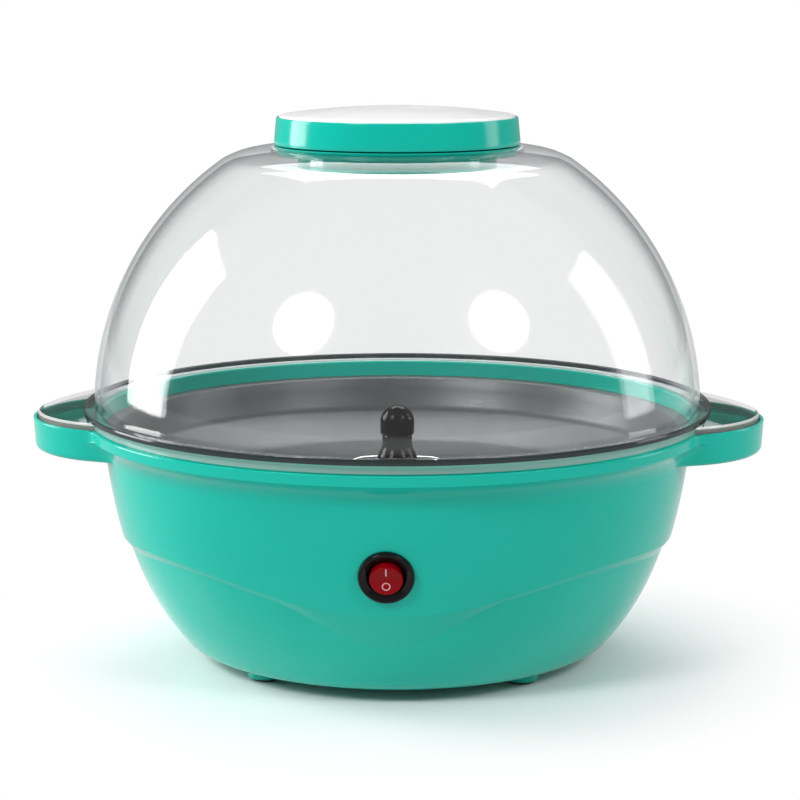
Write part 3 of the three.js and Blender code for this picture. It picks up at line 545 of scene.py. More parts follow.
def clear_rim(name, tone, roughness, solidity):
    """The edge of the clear moulding, where light is trapped and it looks grey or nearly black. Pale tones of
    it also make the painted highlight on the ear's top edge and the skirt's partly painted reflection.
    """
    mat = material(name)
    streaks = noise(mat, 120, 2, 0.5, (1, 1, 8))
    through = node(mat, "ShaderNodeBsdfTransparent", {"Color": (*tone, 1)})
    gloss = node(mat, "ShaderNodeBsdfPrincipled", {
        "Base Color": (*tone, 1), "Roughness": spread(mat, streaks, *roughness),
        "Normal": bump(mat, streaks, 0.00004, 0.3)})
    blend = node(mat, "ShaderNodeMixShader", {"Fac": solidity})
    mat.node_tree.links.new(through.outputs[0], blend.inputs[1])
    mat.node_tree.links.new(gloss.outputs[0], blend.inputs[2])
    node(mat, "ShaderNodeOutputMaterial", {"Surface": blend.outputs[0]})
    return mat


RIM_DARK = clear_rim("clear_rim_dark", (0.03, 0.042, 0.042), (0.08, 0.16), 0.66)
RIM_GREY = clear_rim("clear_rim_grey", (0.36, 0.34, 0.33), (0.10, 0.2), 0.45)
# a pale solid line on the ear's rounded top edge: a painted highlight
RIM_PAINTED_HIGHLIGHT = clear_rim("clear_rim_painted_highlight", (0.80, 0.78, 0.77), (0.10, 0.2), 0.6)
# the skirt's pale mint is partly the teal base seen through the clear skirt and partly painted reflection of
# the side lights, in one solid tone
SKIRT = clear_rim("clear_rim_skirt_painted_reflection", (0.68, 0.86, 0.83), (0.08, 0.16), 0.34)

TEAL = moulded("teal_plastic_moulded", linear(6, 176, 158), linear(4, 170, 152), (0.12, 0.18), gloss=0.27)
WHITE = moulded("white_plastic_moulded", linear(233, 233, 233), linear(226, 226, 227), (0.14, 0.22),
                subsurface=0.05)
CLEAR = clear_plastic("clear_plastic_moulded", (0.985, 0.99, 0.988), (0.62, 0.65, 0.66), (0.04, 0.75))
# the ear's darker face tone is painted shade: it darkens the handle's tray seen through the ear, in place of
# the shadow under it; its edges stay lighter
CLEAR_EAR_PAINTED_SHADE = clear_plastic("clear_plastic_ear", (0.66, 0.70, 0.69), (0.95, 0.94, 0.935), (0.05, 0.25),
                          (0.6, 0.88))
CLEAR_BACK = clear_plastic("clear_plastic_ear_back", (0.96, 0.96, 0.96), (0.93, 0.93, 0.93), (0.03, 0.2))
BLACK = moulded("black_plastic_moulded", (0.004, 0.004, 0.005), (0.007, 0.007, 0.008), (0.08, 0.14),
                gloss=0.16)
RED = moulded("red_plastic_moulded", linear(136, 3, 16), linear(124, 2, 12), (0.12, 0.20), gloss=0.1)
PINK = moulded("switch_mark_ink", linear(224, 158, 168), linear(216, 146, 158), (0.35, 0.45))
GREY = moulded("grey_plastic_moulded", linear(96, 98, 101), linear(86, 88, 92), (0.34, 0.44))
RUBBER = moulded("rubber_dark_moulded", linear(34, 35, 38), linear(26, 27, 30), (0.62, 0.78), 0.0001, 500)
SILICONE = moulded("silicone_red_moulded", linear(168, 58, 40), linear(152, 50, 36), (0.45, 0.58),
                   0.00005, 600, subsurface=0.06)
SLEEVE = moulded("wire_sleeve_woven", linear(206, 204, 196), linear(186, 184, 176), (0.55, 0.68),
                 0.00015, 1600)
NON_STICK = metal("non_stick_coated", linear(92, 94, 96), (0.32, 0.46), scale=700, depth=0.00005,
                  second=linear(80, 82, 84), metallic=0.35)
HEATER = metal("heater_steel_swaged", linear(112, 108, 100), (0.42, 0.6), scale=160)
PLATED = metal("plated_steel_pressed", linear(188, 190, 192), (0.22, 0.36), scale=300)
BRIGHT = metal("bright_wire_drawn", linear(212, 213, 214), (0.12, 0.22), (1, 1, 0.06), 500, 0.00001)
ALUMINIUM = metal("aluminium_sheet_rolled", linear(196, 198, 200), (0.28, 0.42), (0.06, 1, 1), 700)
BRASS = metal("brass_plain_drawn", linear(196, 164, 96), (0.24, 0.38), (1, 1, 0.1), 400)
CERAMIC = moulded("ceramic_white_fired", linear(228, 224, 214), linear(214, 210, 200), (0.5, 0.64),
                  0.0001, 1400)

FINISHES = {
    "teal_plastic": TEAL, "white_plastic": WHITE, "clear_plastic": CLEAR, "black_plastic": BLACK,
    "red_plastic": RED, "grey_plastic": GREY, "rubber_dark": RUBBER, "silicone_red": SILICONE,
    "wire_sleeve": SLEEVE, "non_stick": NON_STICK, "heater_steel": HEATER, "plated_steel": PLATED,
    "bright_wire": BRIGHT, "aluminium_sheet": ALUMINIUM, "brass_plain": BRASS, "ceramic_white": CERAMIC,
}


def finish_piece(obj, slot, body, *nodes, mat=None):
    """Gives a new piece its material, its body and the CAD nodes that it stands for."""
    obj.data.materials.clear()
    obj.data.materials.append(mat or FINISHES[slot])
    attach(obj, body)
    if nodes:
        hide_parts(*nodes)
    return obj


# ---------- the base ----------
def make_base():
    bowl = make_bowl()
    hole = rod("switch_hole", 11.2, -WALL * 3, 3.0, 64, SWITCH_FRAME @ Matrix.Scale(1, 4))
    boolean(bowl, hole, smooth_angle=30)
    gland_hole = rod("gland_hole", 7.45, -WALL * 4, 3.0, 64, GLAND_FRAME)
    boolean(bowl, gland_hole, smooth_angle=30)
    finish_piece(bowl, "teal_plastic", "base", "base_shell")
    places = [Matrix.Translation(Vector((x * FOOT_XY, y * FOOT_XY, 0)) * MM) for x, y in CORNERS]
    for number, place in enumerate(places, 1):
        make_foot(number, place)
    for number, place in enumerate(places, 1):
        make_foot_pad(number, place)


def make_foot(number, place):
    outline = rounded([(0, FOOT_BOTTOM, 0), (FOOT_R, FOOT_BOTTOM, 1.1),
                       (FOOT_R, FOOT_TOP, 0), (0, FOOT_TOP, 0)])
    foot = turn(f"foot_{number}", outline, 64, place)
    well = rod(f"foot_{number}_well", PAD_R + 0.1, 0.0, PAD_TOP + 0.05, 64, place)
    boolean(foot, well)
    finish_piece(foot, "teal_plastic", "base")


def make_foot_pad(number, place):
    outline = rounded([(0, 0.0, 0), (PAD_R, 0.0, 0.5), (PAD_R, PAD_TOP, 0.2), (0, PAD_TOP, 0)])
    pad = turn(f"foot_pad_moulded_{number}", outline, 64, place)
    finish_piece(pad, "rubber_dark", "base", f"foot_pad_{number}")


# ---------- the switch ----------
def make_bezel():
    outline = [(BEZEL_R, 0.15), (BEZEL_R + 0.05, 0.8), (BEZEL_R - 0.2, 1.5)]
    outline += arc(BEZEL_R - 1.1, 1.4, 1.0, 25, 140, 8)
    outline += [(9.6, 1.75), (8.9, 1.25), (WELL_R + 0.15, 0.95), (WELL_R + 0.02, 0.85), (WELL_R, 0.6)]
    outline += [(WELL_R, -17.0), (0, -17.0), (0, -18.0), (BARREL_R, -18.0), (BARREL_R, 0.15)]
    bezel = turn("switch_bezel", outline, 160, SWITCH_FRAME, 40)
    finish_piece(bezel, "black_plastic", "base", "switch_housing")


def rocker_surface(x, y):
    """Height of the rocker's face: two slopes meeting in a valley across the middle."""
    valley = math.sqrt(y * y + 1.2) - 1.1
    return ROCKER_VALLEY + valley * math.tan(ROCKER_TILT)


def rocker_matrix():
    raise_pivot = Matrix.Translation(Vector((0, 0, ROCKER_PIVOT)) * MM)
    tilt = Matrix.Rotation(ROCKER_TILT, 4, "X")
    return SWITCH_FRAME @ raise_pivot @ tilt @ raise_pivot.inverted()


def make_rocker():
    rings = [0.0, 1.0, 2.0, 3.0, 4.0, 5.0, 5.8, 6.4, 6.7, 6.9, 7.02, 7.1]
    around = 96
    verts = [(0.0, 0.0, rocker_surface(0, 0))]
    for r in rings[1:]:
        drop = 0.0 if r < 6.6 else 0.5 - math.sqrt(max(0.25 - (r - 6.6) ** 2, 0.0))
        for k in range(around):
            angle = 2 * math.pi * k / around
            x, y = r * math.cos(angle), r * math.sin(angle)
            verts.append((x, y, rocker_surface(x, y) - drop))
    for z in (0.8, -2.6):
        for k in range(around):
            angle = 2 * math.pi * k / around
            verts.append((ROCKER_R * math.cos(angle), ROCKER_R * math.sin(angle), z))
    verts.append((0.0, 0.0, -2.6))
    faces = [(0, 1 + k, 1 + (k + 1) % around) for k in range(around)]
    levels = len(rings) - 1 + 2
    for level in range(levels - 1):
        a, b = 1 + level * around, 1 + (level + 1) * around
        faces += [(a + k, b + k, b + (k + 1) % around, a + (k + 1) % around) for k in range(around)]
    last = 1 + (levels - 1) * around
    faces += [(last + (k + 1) % around, last + k, len(verts) - 1) for k in range(around)]
    rocker = new_object("switch_rocker_moulded", verts, faces, 35)
    face_outward(rocker.data)
    rocker.data.transform(rocker_matrix())
    finish_piece(rocker, "red_plastic", "rocker", "switch_rocker")


def draped_mark(name, outline, centre_y):
    """A thin raised mark that lies on the rocker's face. The outline is a strip of (inner, outer) points."""
    verts = []
    lift, under = 0.05, -0.15
    for inner, outer in outline:
        for x, y in (inner, outer):
            z = rocker_surface(x, y + centre_y)
            verts.append((x, y + centre_y, z + lift))
            verts.append((x, y + centre_y, z + under))
    faces = []
    count = len(outline)
    closed = outline[0] == outline[-1]
    for k in range(count - 1):
        a, b = 4 * k, 4 * (k + 1)
        faces += [(a, a + 2, b + 2, b), (a + 1, b + 1, b + 3, a + 3), (a, b, b + 1, a + 1),
                  (a + 2, a + 3, b + 3, b + 2)]
    if not closed:
        end = 4 * (count - 1)
        faces += [(0, 1, 3, 2), (end, end + 2, end + 3, end + 1)]
    mark = new_object(name, verts, faces, 50)
    face_outward(mark.data)
    mark.data.transform(rocker_matrix())
    return finish_piece(mark, "white_plastic", "rocker", mat=PINK)


def make_marks():
    """The generic on and off marks: a bar near the rocker's top and a ring near its foot."""
    half_width, half_length = 0.29, 2.0
    rungs = [mix(-half_length, half_length, k / 8) for k in range(9)]
    bar = [((-half_width, y), (half_width, y)) for y in rungs]
    draped_mark("switch_mark_on", bar, 4.5)
    ring_inner, ring_outer = 1.36, 1.84
    ring = []
    for k in range(49):
        angle = 2 * math.pi * k / 48
        unit = Vector((round(math.cos(angle), 9), round(math.sin(angle), 9)))
        ring.append((tuple(unit * ring_inner), tuple(unit * ring_outer)))
    draped_mark("switch_mark_off", ring, -2.9)


# ---------- the dome ----------
def dome_outer():
    """The dome's outer curve, from its flange up to the rim of the recess that takes the cap."""
    start = math.degrees(math.asin(4.4 / DOME_R))
    end = math.degrees(math.acos(SHOULDER_R / DOME_R))
    cove = [(DOME_R + 0.75, 2.75), (DOME_R + 0.2, 3.2)]
    shoulder = [(76.5, 116.95), (73, 118.35), (69.5, 119.35), (66, 120.0), (62, 120.4), (59.4, 120.5)]
    rim = [(58.6, 120.42), (58.2, 120.1), (57.9, 119.2), (57.6, CAP_SEAT + 0.4), (57.3, CAP_SEAT)]
    return cove + arc(0, 0, DOME_R, start, end, 56) + shoulder + rim


def dome_inner():
    inner = DOME_R - DOME_WALL
    end = math.degrees(math.acos(SHOULDER_R / inner))
    top = [(76, 114.3), (72, 115.0), (66, 115.2), (OPENING_R, CAP_SEAT - DOME_WALL)]
    return arc(0, 0, inner, 0, end, 48) + top


def make_dome():
    outline = [(SKIRT_INNER_R, 0), (SKIRT_INNER_R, SKIRT_BOTTOM + 0.2), (SKIRT_INNER_R + 0.2, SKIRT_BOTTOM),
               (SKIRT_R - 0.3, SKIRT_BOTTOM), (SKIRT_R, SKIRT_BOTTOM + 0.3), (SKIRT_R, 0.05),
               (FLANGE_R - 0.5, 0.05), (FLANGE_R - 0.1, 0.2), (FLANGE_R, 0.6), (FLANGE_R, 2.1),
               (FLANGE_R - 0.15, 2.55), (FLANGE_R - 0.6, FLANGE_TOP), (DOME_R + 1.6, FLANGE_TOP)]
    outline += dome_outer() + [(OPENING_R + 0.3, CAP_SEAT), (OPENING_R, CAP_SEAT - 0.3)]
    outline += dome_inner()[::-1]
    dome = turn("dome_blown", [(r, RIM_Z + z) for r, z in outline], 360, None, 32)
    finish_piece(dome, "clear_plastic", "dome", "dome")
    paint(dome, RIM_DARK, lambda at: math.hypot(at.x, at.y) > FLANGE_R - 0.7)
    # pale skirt: teal seen through it, with painted reflection
    paint(dome, SKIRT, lambda at: math.hypot(at.x, at.y) > SKIRT_R - 0.2 and at.z < RIM_Z)
    make_ear("right", 1)
    make_ear("left", -1)


def make_ear(side, sign):
    """A crowned clear lobe that joins the dome's flange and lies in the handle's tray."""
    def crown(r, drop):
        return EAR_EDGE_TOP + EAR_CROWN * (1 - (r / EAR_R) ** 2) - drop
    outline = [(EAR_R - 1.6, EAR_EDGE_BOTTOM), (EAR_R - 0.3, EAR_EDGE_BOTTOM)]
    outline += [(EAR_R, EAR_EDGE_BOTTOM + 0.3), (EAR_R, EAR_EDGE_TOP - 0.7)]
    outline += [(EAR_R - 0.12, EAR_EDGE_TOP - 0.25), (EAR_R - 0.5, EAR_EDGE_TOP)]
    radii = [47.4, 46.6, 45.5, 43.5, 40.5, 37, 32, 26, 18, 9]
    outline += [(r, crown(r, 0)) for r in radii] + [(0, crown(0, 0))]
    outline += [(0, crown(0, EAR_WALL))] + [(r, crown(r, EAR_WALL)) for r in radii[::-1] if r < 46]
    outline += [(EAR_R - 1.6, EAR_EDGE_TOP - EAR_WALL)]
    place = Matrix.Translation(Vector((sign * HANDLE_X, 0, RIM_Z)) * MM)
    ear = turn(f"dome_ear_{side}", outline, 200, place, 32)
    keep_out = [(0, -30), (BAND_R + 0.7, -30), (BAND_R + 0.7, SKIRT_BOTTOM - 0.3)]
    keep_out += [(SKIRT_R + 0.02, SKIRT_BOTTOM - 0.3), (SKIRT_R + 0.02, 0.02), (FLANGE_R + 0.02, 0.02)]
    keep_out += [(FLANGE_R + 0.02, FLANGE_TOP + 0.02), (DOME_R + 0.4, FLANGE_TOP + 0.4)]
    keep_out += [(DOME_R + 0.05, 4.4), (DOME_R, 12), (DOME_R - 0.5, 20), (0, 20)]
    inside = turn("ear_trim", [(r, RIM_Z + z) for r, z in keep_out], 360)
    boolean(ear, inside, smooth_angle=32)
    smooth_ear(ear, sign)
    finish_piece(ear, "clear_plastic", "dome", mat=CLEAR_EAR_PAINTED_SHADE)
    paint_ear(ear, sign)


def paint_ear(ear, sign):
    """A painted highlight line round the crown, a grey edge below it in front, and a plain clear edge at the
    back.
    """
    shoulder = RIM_Z + EAR_EDGE_TOP - 0.6

    def beyond(at, radius):
        return math.hypot(at.x - sign * HANDLE_X, at.y) > radius
    # painted highlight round the top edge of the crown
    paint(ear, RIM_PAINTED_HIGHLIGHT, lambda at: beyond(at, EAR_R - 1.1) and at.z > shoulder)
    paint(ear, RIM_GREY, lambda at: beyond(at, EAR_R - 0.6) and at.z < shoulder)
    paint(ear, CLEAR_BACK, lambda at: beyond(at, EAR_R - 1.7) and at.y > EAR_R * 0.15)


def smooth_ear(ear, sign):
    """Shades the trimmed ear by its true curve, whichever faces the trimming left."""
    mesh = ear.data
    normals = []
    for face in mesh.polygons:
        for i in face.loop_indices:
            at = mesh.vertices[mesh.loops[i].vertex_index].co / MM
            x, y = at.x - sign * HANDLE_X, at.y
            bow = 2 * EAR_CROWN / EAR_R ** 2
            crown = Vector((bow * x, bow * y, 1)).normalized()
            outward = Vector((x, y, 0)).normalized()
            best = max((crown, -crown, outward, -outward), key=face.normal.dot)
            normals.append(best if best.dot(face.normal) > 0.93 else face.normal.copy())
    mesh.normals_split_custom_set(normals)


def paint(obj, mat, chosen):
    """Gives a material to the faces whose centre, in millimetres, is chosen."""
    obj.data.materials.append(mat)
    slot = len(obj.data.materials) - 1
    for face in obj.data.polygons:
        if chosen(face.center / MM):
            face.material_index = slot


# ---------- the cap ----------
NECK_R = OPENING_R - 0.4             # the collar's neck, which drops into the dome's opening
NECK_WALL = 1.8
PLUG_R = NECK_R - NECK_WALL - 0.3    # the cap's plug, inside the neck
CAP_TOP_R = CAP_R - CAP_TAPER


def turned_on_rim(name, outline, segments=SEGMENTS, smooth_angle=38):
    """A turned piece whose heights are measured from the rim."""
    return turn(name, [(r, RIM_Z + z) for r, z in outline], segments, None, smooth_angle)


def make_cap_collar():
    low, seat, seam = CAP_SEAT - 6, CAP_SEAT + 0.3, CAP_SEAM - 0.3
    inner = NECK_R - NECK_WALL
    outline = [(inner, low + 0.3), (inner + 0.3, low), (NECK_R - 0.3, low), (NECK_R, low + 0.3)]
    outline += [(NECK_R, seat - 0.2), (NECK_R + 0.2, seat), (50, seat)]
    outline += [(52, seat + 0.25), (53.6, seat + 0.9), (54.9, seat + 1.6), (55.8, seat + 2.3)]
    outline += [(CAP_R - 0.2, seam - 0.7), (CAP_R, seam - 0.25), (CAP_R - 0.2, seam), (inner, seam)]
    finish_piece(turned_on_rim("cap_collar_moulded", outline), "teal_plastic", "dome", "cap_collar")


def make_cap_band():
    low, seam, top = CAP_SEAT - 3, CAP_SEAM + 0.3, CAP_BAND_TOP
    foot_r = CAP_R - 0.1
    outline = [(PLUG_R - 2, low + 0.2), (PLUG_R - 1.8, low), (PLUG_R - 0.2, low), (PLUG_R, low + 0.2)]
    outline += [(PLUG_R, seam), (CAP_R - 0.6, seam), (CAP_R - 0.25, seam + 0.12), (foot_r, seam + 0.45)]
    outline += [(mix(foot_r, CAP_TOP_R, k / 6), mix(seam + 0.45, top - 0.5, k / 6)) for k in range(1, 7)]
    outline += [(CAP_TOP_R - 0.12, top - 0.15), (CAP_TOP_R - 0.4, top), (CAP_TOP_R - 0.8, top)]
    outline += [(CAP_TOP_R - 1, top - 0.2), (CAP_TOP_R - 1, top - 2.9), (CAP_TOP_R - 5, top - 2.9)]
    outline += [(CAP_TOP_R - 5, top - 4.4), (CAP_TOP_R - 2.6, top - 4.4), (CAP_R - 3, seam + 2)]
    outline += [(PLUG_R - 2, seam + 2)]
    finish_piece(turned_on_rim("cap_band_moulded", outline), "teal_plastic", "cap", "cap_band")


def make_cap_top():
    top = CAP_BAND_TOP
    edge_r = CAP_TOP_R - 1.3
    crown = CAP_CROWN - top - 0.8

    def bow(r):
        return crown * (1 - (r / edge_r) ** 2)
    outline = [(edge_r - 2.4, top - 2.6), (edge_r - 0.2, top - 2.6), (edge_r, top - 2.4)]
    outline += [(edge_r, top + 0.05), (edge_r - 0.12, top + 0.4), (edge_r - 0.5, top + 0.75)]
    outline += [(r, top + 0.8 + bow(r)) for r in (53, 50, 46, 41, 35, 28, 20, 11, 0)]
    outline += [(r, top - 1.4 + bow(r)) for r in (0, 20, 35, 46, 50)]
    outline += [(edge_r - 2.4, top - 1.2)]
    finish_piece(turned_on_rim("cap_top_moulded", outline), "white_plastic", "cap", "cap_top")


# ---------- the pan and the stirrer ----------
def make_pan():
    """A drawn pan: a collar in a flat floor, a sloping shoulder, a steep wall and a flange."""
    inside = PAN_FLOOR + PAN_WALL
    outline = [(6.4, PAN_FLOOR + 0.2), (6.6, PAN_FLOOR), (98, PAN_FLOOR), (102.5, 78.7), (106.4, 80.6)]
    outline += [(115, 85.0), (124, 89.4), (126.6, 91.3), (128, 94.2), (130.2, 101.5), (131.2, 105.2)]
    outline += [(132.0, 106.2), (133.2, 106.6), (136.5, 106.6), (136.8, 106.9), (136.8, 107.3)]
    outline += [(136.5, 107.6), (132.2, 107.6), (130.4, 106.9), (129.6, 105.4), (128.6, 101.7), (126.4, 94.4)]
    outline += [(125.1, 91.9), (123.0, 90.5), (114.4, 86.4), (105.4, 82.0), (101.9, 80.3), (98, inside)]
    outline += [(60, inside), (24, inside), (12, inside + 0.2), (9.2, 80.6), (8.2, 81.8), (8.0, 82.8)]
    outline += [(7.8, 83.0), (6.6, 83.0), (6.4, 82.8)]
    pan = turn("heating_pan_drawn", outline, SEGMENTS, None, 40)
    finish_piece(pan, "non_stick", "base", "heating_pan")


def make_hub():
    socket_r, socket_top = 3.75, 100.35
    hub = [(socket_r, 85.6), (HUB_R - 0.5, 85.6), (HUB_R - 0.1, 85.9), (HUB_R, 86.6), (9.7, 90.4)]
    hub += [(8.6, 93.2), (7.4, 95.4), (7.0, 97.6), (7.0, 101.2), (6.8, 101.6), (0, 101.6), (0, socket_top)]
    hub += [(socket_r, socket_top)]
    piece = turn("stirrer_hub_moulded", hub, 128)
    finish_piece(piece, "black_plastic", "stirrer", "stirrer_hub")


def make_knob():
    knob = [(0, 101.9), (KNOB_R - 0.8, 101.9), (KNOB_R - 0.2, 102.3), (KNOB_R, 103.2)]
    knob += arc(0, KNOB_CENTRE, KNOB_R, 0, 90, 12)[:-1] + [(0, KNOB_CENTRE + KNOB_R)]
    piece = turn("stirrer_knob_moulded", knob, 128)
    finish_piece(piece, "black_plastic", "stirrer", "stirrer_knob")


def smooth_route(points, steps=12):
    """Points along a curve through the given points."""
    path = []
    count = len(points)
    for i in range(count - 1):
        p0, p1, p2, p3 = (Vector(points[clamp(i + k, 0, count - 1)]) for k in (-1, 0, 1, 2))
        for k in range(steps):
            t = k / steps
            path.append(0.5 * (2 * p1 + (p2 - p0) * t + (2 * p0 - 5 * p1 + 4 * p2 - p3) * t * t
                               + (3 * p1 - p0 - 3 * p2 + p3) * t ** 3))
    path.append(Vector(points[-1]))
    return path


def sweep(name, path, radius, sides=20):
    """A round bar along a path, with its ends rounded over."""
    verts, faces = [], []
    ends = len(path) - 1
    across = Vector((0, 0, 1))
    for i, point in enumerate(path):
        along = (path[min(i + 1, ends)] - path[max(i - 1, 0)]).normalized()
        side = along.cross(across).normalized()
        up = side.cross(along)
        thin = 0.75 if i in (0, ends) else 1.0
        for k in range(sides):
            angle = 2 * math.pi * k / sides
            verts.append(tuple(point + (side * math.cos(angle) + up * math.sin(angle)) * radius * thin))
    for i in range(ends):
        for k in range(sides):
            n = (k + 1) % sides
            faces.append((i * sides + k, i * sides + n, (i + 1) * sides + n, (i + 1) * sides + k))
    faces.append(tuple(range(sides)))
    faces.append(tuple(ends * sides + k for k in reversed(range(sides))))
    bar = new_object(name, verts, faces, 45)
    face_outward(bar.data)
    return bar


def make_arms():
    """Each wire leaves the hub, drops to sweep just above the pan and turns up at its tip."""
    route = [(6.6, 0, ARM_Z), (12, 0, ARM_Z), (19, 1, ARM_Z - 1), (28, 4, ARM_LOW + 1), (42, 9, ARM_LOW)]
    route += [(62, 13, ARM_LOW), (80, 11, ARM_LOW), (93, 4, ARM_LOW), (100, -4, ARM_LOW + 4)]
    route += [(104, -9, ARM_LOW + 10)]
    for side, sign in (("left", -1), ("right", 1)):
        points = [(sign * x, sign * y, z) for x, y, z in route]
        arm = sweep(f"stirring_arm_bent_{side}", smooth_route(points), ARM_R)
        finish_piece(arm, "bright_wire", "stirrer", f"stirring_arm_{side}")


# ---------- the back and the underside ----------
def make_gland():
    """The empty inlet: a barrel through the wall, a domed flange outside and a bore for the cord."""
    bore_r, barrel_r, flange_r = 4.0, 7.1, 10.0
    outline = [(bore_r, -8), (bore_r + 0.2, -8.2), (barrel_r - 0.2, -8.2), (barrel_r, -8), (barrel_r, 0.8)]
    outline += [(flange_r - 0.3, 0.8), (flange_r, 1.1), (flange_r, 2.0), (flange_r - 0.3, 2.5), (9.0, 2.9)]
    outline += [(8.4, 3.35), (7.8, 3.4), (5.4, 3.4), (4.7, 3.2), (bore_r + 0.2, 2.8), (bore_r, 2.2)]
    gland = turn("cord_gland_moulded", outline, 96, GLAND_FRAME)
    finish_piece(gland, "black_plastic", "base", "cord_gland")


def block(name, x, y, bottom, top):
    corners = [(sx * x / 2, sy * y / 2, z) for z in (bottom, top)
               for sx, sy in ((-1, -1), (1, -1), (1, 1), (-1, 1))]
    faces = [(3, 2, 1, 0), (4, 5, 6, 7), (0, 1, 5, 4), (1, 2, 6, 5), (2, 3, 7, 6), (3, 0, 4, 7)]
    return new_object(name, corners, faces)


def slot_tool(name, y):
    """A round-ended slot across the cover, as a tool to cut with."""
    radius = VENT_WIDTH / 2
    half = VENT_LENGTH / 2 - radius
    turns = [math.radians(-90 + 15 * k) for k in range(13)]
    rim = [(half + radius * math.cos(a), y + radius * math.sin(a)) for a in turns]
    rim += [(-half - radius * math.cos(a), y - radius * math.sin(a)) for a in turns]
    count = len(rim)
    verts = [(x, v, 0.0) for x, v in rim] + [(x, v, 12.0) for x, v in rim]
    faces = [tuple(reversed(range(count))), tuple(range(count, 2 * count))]
    faces += [(k, (k + 1) % count, (k + 1) % count + count, k + count) for k in range(count)]
    return new_object(name, verts, faces)


def make_cover():
    outline = [(0, COVER_BOTTOM), (COVER_R - 0.4, COVER_BOTTOM), (COVER_R, COVER_BOTTOM + 0.4)]
    outline += [(COVER_R, COVER_TOP), (0, COVER_TOP)]
    cover = turn("bottom_cover_moulded", outline)
    for y in VENT_ROWS:
        boolean(cover, slot_tool("vent", y))
    for k in range(4):
        angle = math.radians(90 * k)
        centre = Vector((SCREW_CIRCLE_R * math.cos(angle), SCREW_CIRCLE_R * math.sin(angle), 0))
        place = Matrix.Translation(centre * MM)
        boolean(cover, rod("screw_hole", SCREW_HOLE_R, 0, 12, 32, place))
        make_cover_screw(k + 1, place)
    finish_piece(cover, "teal_plastic", "base", "bottom_cover")


def make_cover_screw(number, place):
    shank_r = 1.5
    head = [(0, 3.1), (1.2, 3.1), (2.2, 3.35), (2.9, 3.8), (SCREW_R, 4.4), (SCREW_R, 4.7)]
    head += [(shank_r, 4.7), (shank_r, 14.7), (0, 14.7)]
    screw = turn(f"cover_screw_turned_{number}", head, 48, place)
    for turned_by in (45, 135):
        bar = block("driver", 3.6, 0.8, 2.0, 4.2)
        bar.data.transform(place @ Matrix.Rotation(math.radians(turned_by), 4, "Z"))
        boolean(screw, bar)
    finish_piece(screw, "plated_steel", "base", f"cover_screw_{number}")


# ---------- pieces that keep their CAD shape ----------
def finish_cad_parts():
    """Gives every CAD node its better material. The pieces made after this replace some of them."""
    for part in frame["record"]["subparts"]:
        obj = frame["nodes"][part["node"]]
        obj.data.materials.clear()
        obj.data.materials.append(FINISHES[part["material_slot"]])


# ---------- camera, floor and light ----------
def make_camera():
    data = bpy.data.cameras.new("camera")
    data.lens = CAMERA_LENS
    data.sensor_width = CAMERA_SENSOR
    camera = bpy.data.objects.new("camera", data)
    bpy.context.scene.collection.objects.link(camera)
    along = Vector((math.sin(CAMERA_TURN), -math.cos(CAMERA_TURN), 0))
    side = Vector((math.cos(CAMERA_TURN), math.sin(CAMERA_TURN), 0))
    camera.location = along * CAMERA_RANGE + side * CAMERA_SIDESTEP + Vector((0, 0, CAMERA_HEIGHT))
    camera.rotation_euler = (math.pi / 2 - CAMERA_PITCH, 0, CAMERA_TURN)
    data.clip_start = 0.05
    bpy.context.scene.camera = camera


def area_light(name, place, target, size, power, tall=None, round_shape=False):
    data = bpy.data.lights.new(name, "AREA")
    data.shape = "ELLIPSE" if round_shape else "RECTANGLE"
    data.size = size
    data.size_y = tall or size
    data.energy = power
    lamp = bpy.data.objects.new(name, data)
    bpy.context.scene.collection.objects.link(lamp)
    lamp.location = place
    lamp.rotation_euler = (Vector(target) - Vector(place)).to_track_quat("-Z", "Y").to_euler()


def make_studio():
    """White surroundings that the camera sees directly, dimmer for light and reflections, and softboxes."""
    world = bpy.data.worlds.new("studio")
    world.use_nodes = True
    tree = world.node_tree
    back = tree.nodes["Background"]
    path = tree.nodes.new("ShaderNodeLightPath")
    strength = tree.nodes.new("ShaderNodeMapRange")
    tree.links.new(path.outputs["Is Camera Ray"], strength.inputs["Value"])
    strength.inputs["To Min"].default_value = SURROUND_BOUNCE
    strength.inputs["To Max"].default_value = 1.0
    tree.links.new(strength.outputs["Result"], back.inputs["Strength"])
    back.inputs["Color"].default_value = (1, 1, 1, 1)
    bpy.context.scene.world = world
    bpy.context.scene.view_settings.view_transform = "Standard"
    # three discs on one centre make a round light that fades towards its edge
    for side, place, power in (("left", (-1.0, -1.25, 1.25), 26), ("right", (1.16, -1.10, 1.25), 15)):
        for step, size in enumerate((0.30, 0.50, 0.72)):
            name = f"glow_{side}_{step}"
            area_light(name, place, (0, 0, 0.15), size, power * size * size, round_shape=True)
    area_light("side_left", (-1.55, 0.35, 0.6), (0, 0, 0.12), 0.7, 30, 1.3)
    area_light("side_right", (1.6, 0.3, 0.6), (0, 0, 0.12), 0.5, 8, 1.3)
    area_light("top", (0, 0.95, 1.55), (0, 0, 0.1), 1.5, 20, 0.9)


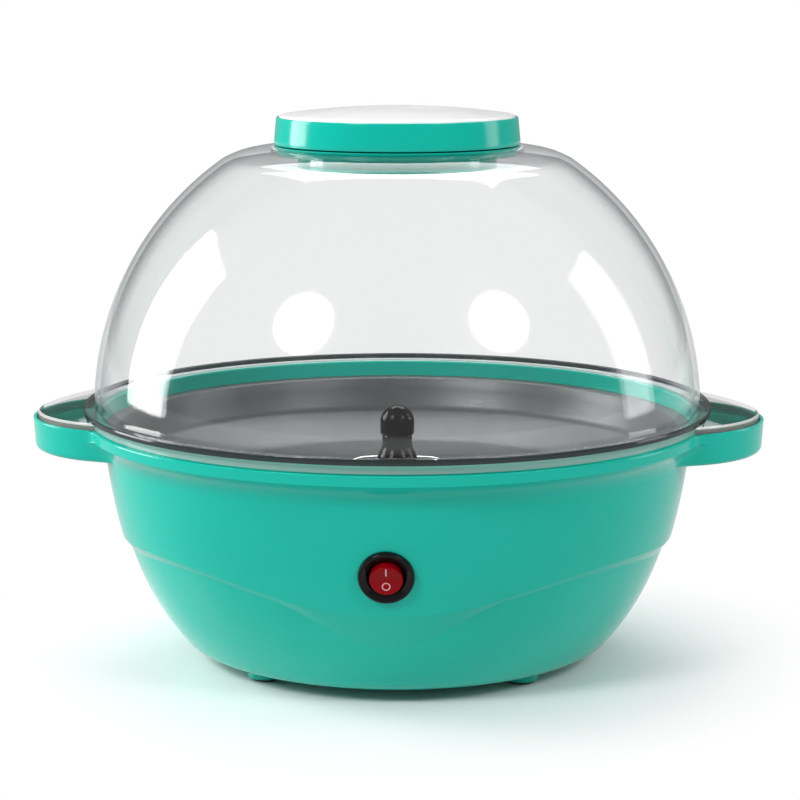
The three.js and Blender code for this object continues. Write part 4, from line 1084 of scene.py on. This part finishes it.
def make_floor():
    """A white floor that takes the shadow near the object and glows white further off."""
    count = 64
    around = [2 * math.pi * k / count for k in range(count)]
    verts = [(0, 0, FLOOR_LEVEL)]
    verts += [(FLOOR_RADIUS * math.cos(a), FLOOR_RADIUS * math.sin(a), FLOOR_LEVEL) for a in around]
    mesh = bpy.data.meshes.new("floor")
    mesh.from_pydata(verts, [], [(0, 1 + k, 1 + (k + 1) % count) for k in range(count)])
    floor = bpy.data.objects.new("floor", mesh)
    bpy.context.scene.collection.objects.link(floor)
    floor.data.materials.append(floor_material())


def floor_material():
    mat = material("floor_white")
    place = node(mat, "ShaderNodeTexCoord")
    far = node(mat, "ShaderNodeVectorMath", {0: place.outputs["Object"]}, operation="LENGTH")
    share = node(mat, "ShaderNodeMapRange", {
        "Value": far.outputs["Value"], "From Min": FLOOR_SHADE_START, "From Max": FLOOR_SHADE_END,
        "To Min": 0.0, "To Max": 1.0}, interpolation_type="SMOOTHSTEP")
    near = node(mat, "ShaderNodeBsdfPrincipled", {
        "Base Color": tint(mat, noise(mat, 2, 2), (0.90, 0.90, 0.90), (0.88, 0.88, 0.88)), "Roughness": 0.3})
    path = node(mat, "ShaderNodeLightPath")
    strength = node(mat, "ShaderNodeMapRange", {
        "Value": path.outputs["Is Camera Ray"], "To Min": FLOOR_BOUNCE, "To Max": 1.0})
    glow = node(mat, "ShaderNodeEmission", {"Color": (1, 1, 1, 1), "Strength": strength.outputs["Result"]})
    blend = node(mat, "ShaderNodeMixShader", {"Fac": share.outputs["Result"]})
    mat.node_tree.links.new(near.outputs[0], blend.inputs[1])
    mat.node_tree.links.new(glow.outputs[0], blend.inputs[2])
    node(mat, "ShaderNodeOutputMaterial", {"Surface": blend.outputs[0]})
    return mat


make_camera()
make_studio()
make_floor()
finish_cad_parts()
make_base()
make_bezel()
make_rocker()
make_marks()
make_dome()
make_cap_collar()
make_cap_band()
make_cap_top()
make_pan()
make_hub()
make_knob()
make_arms()
make_gland()
make_cover()

bpy.context.view_layer.update()
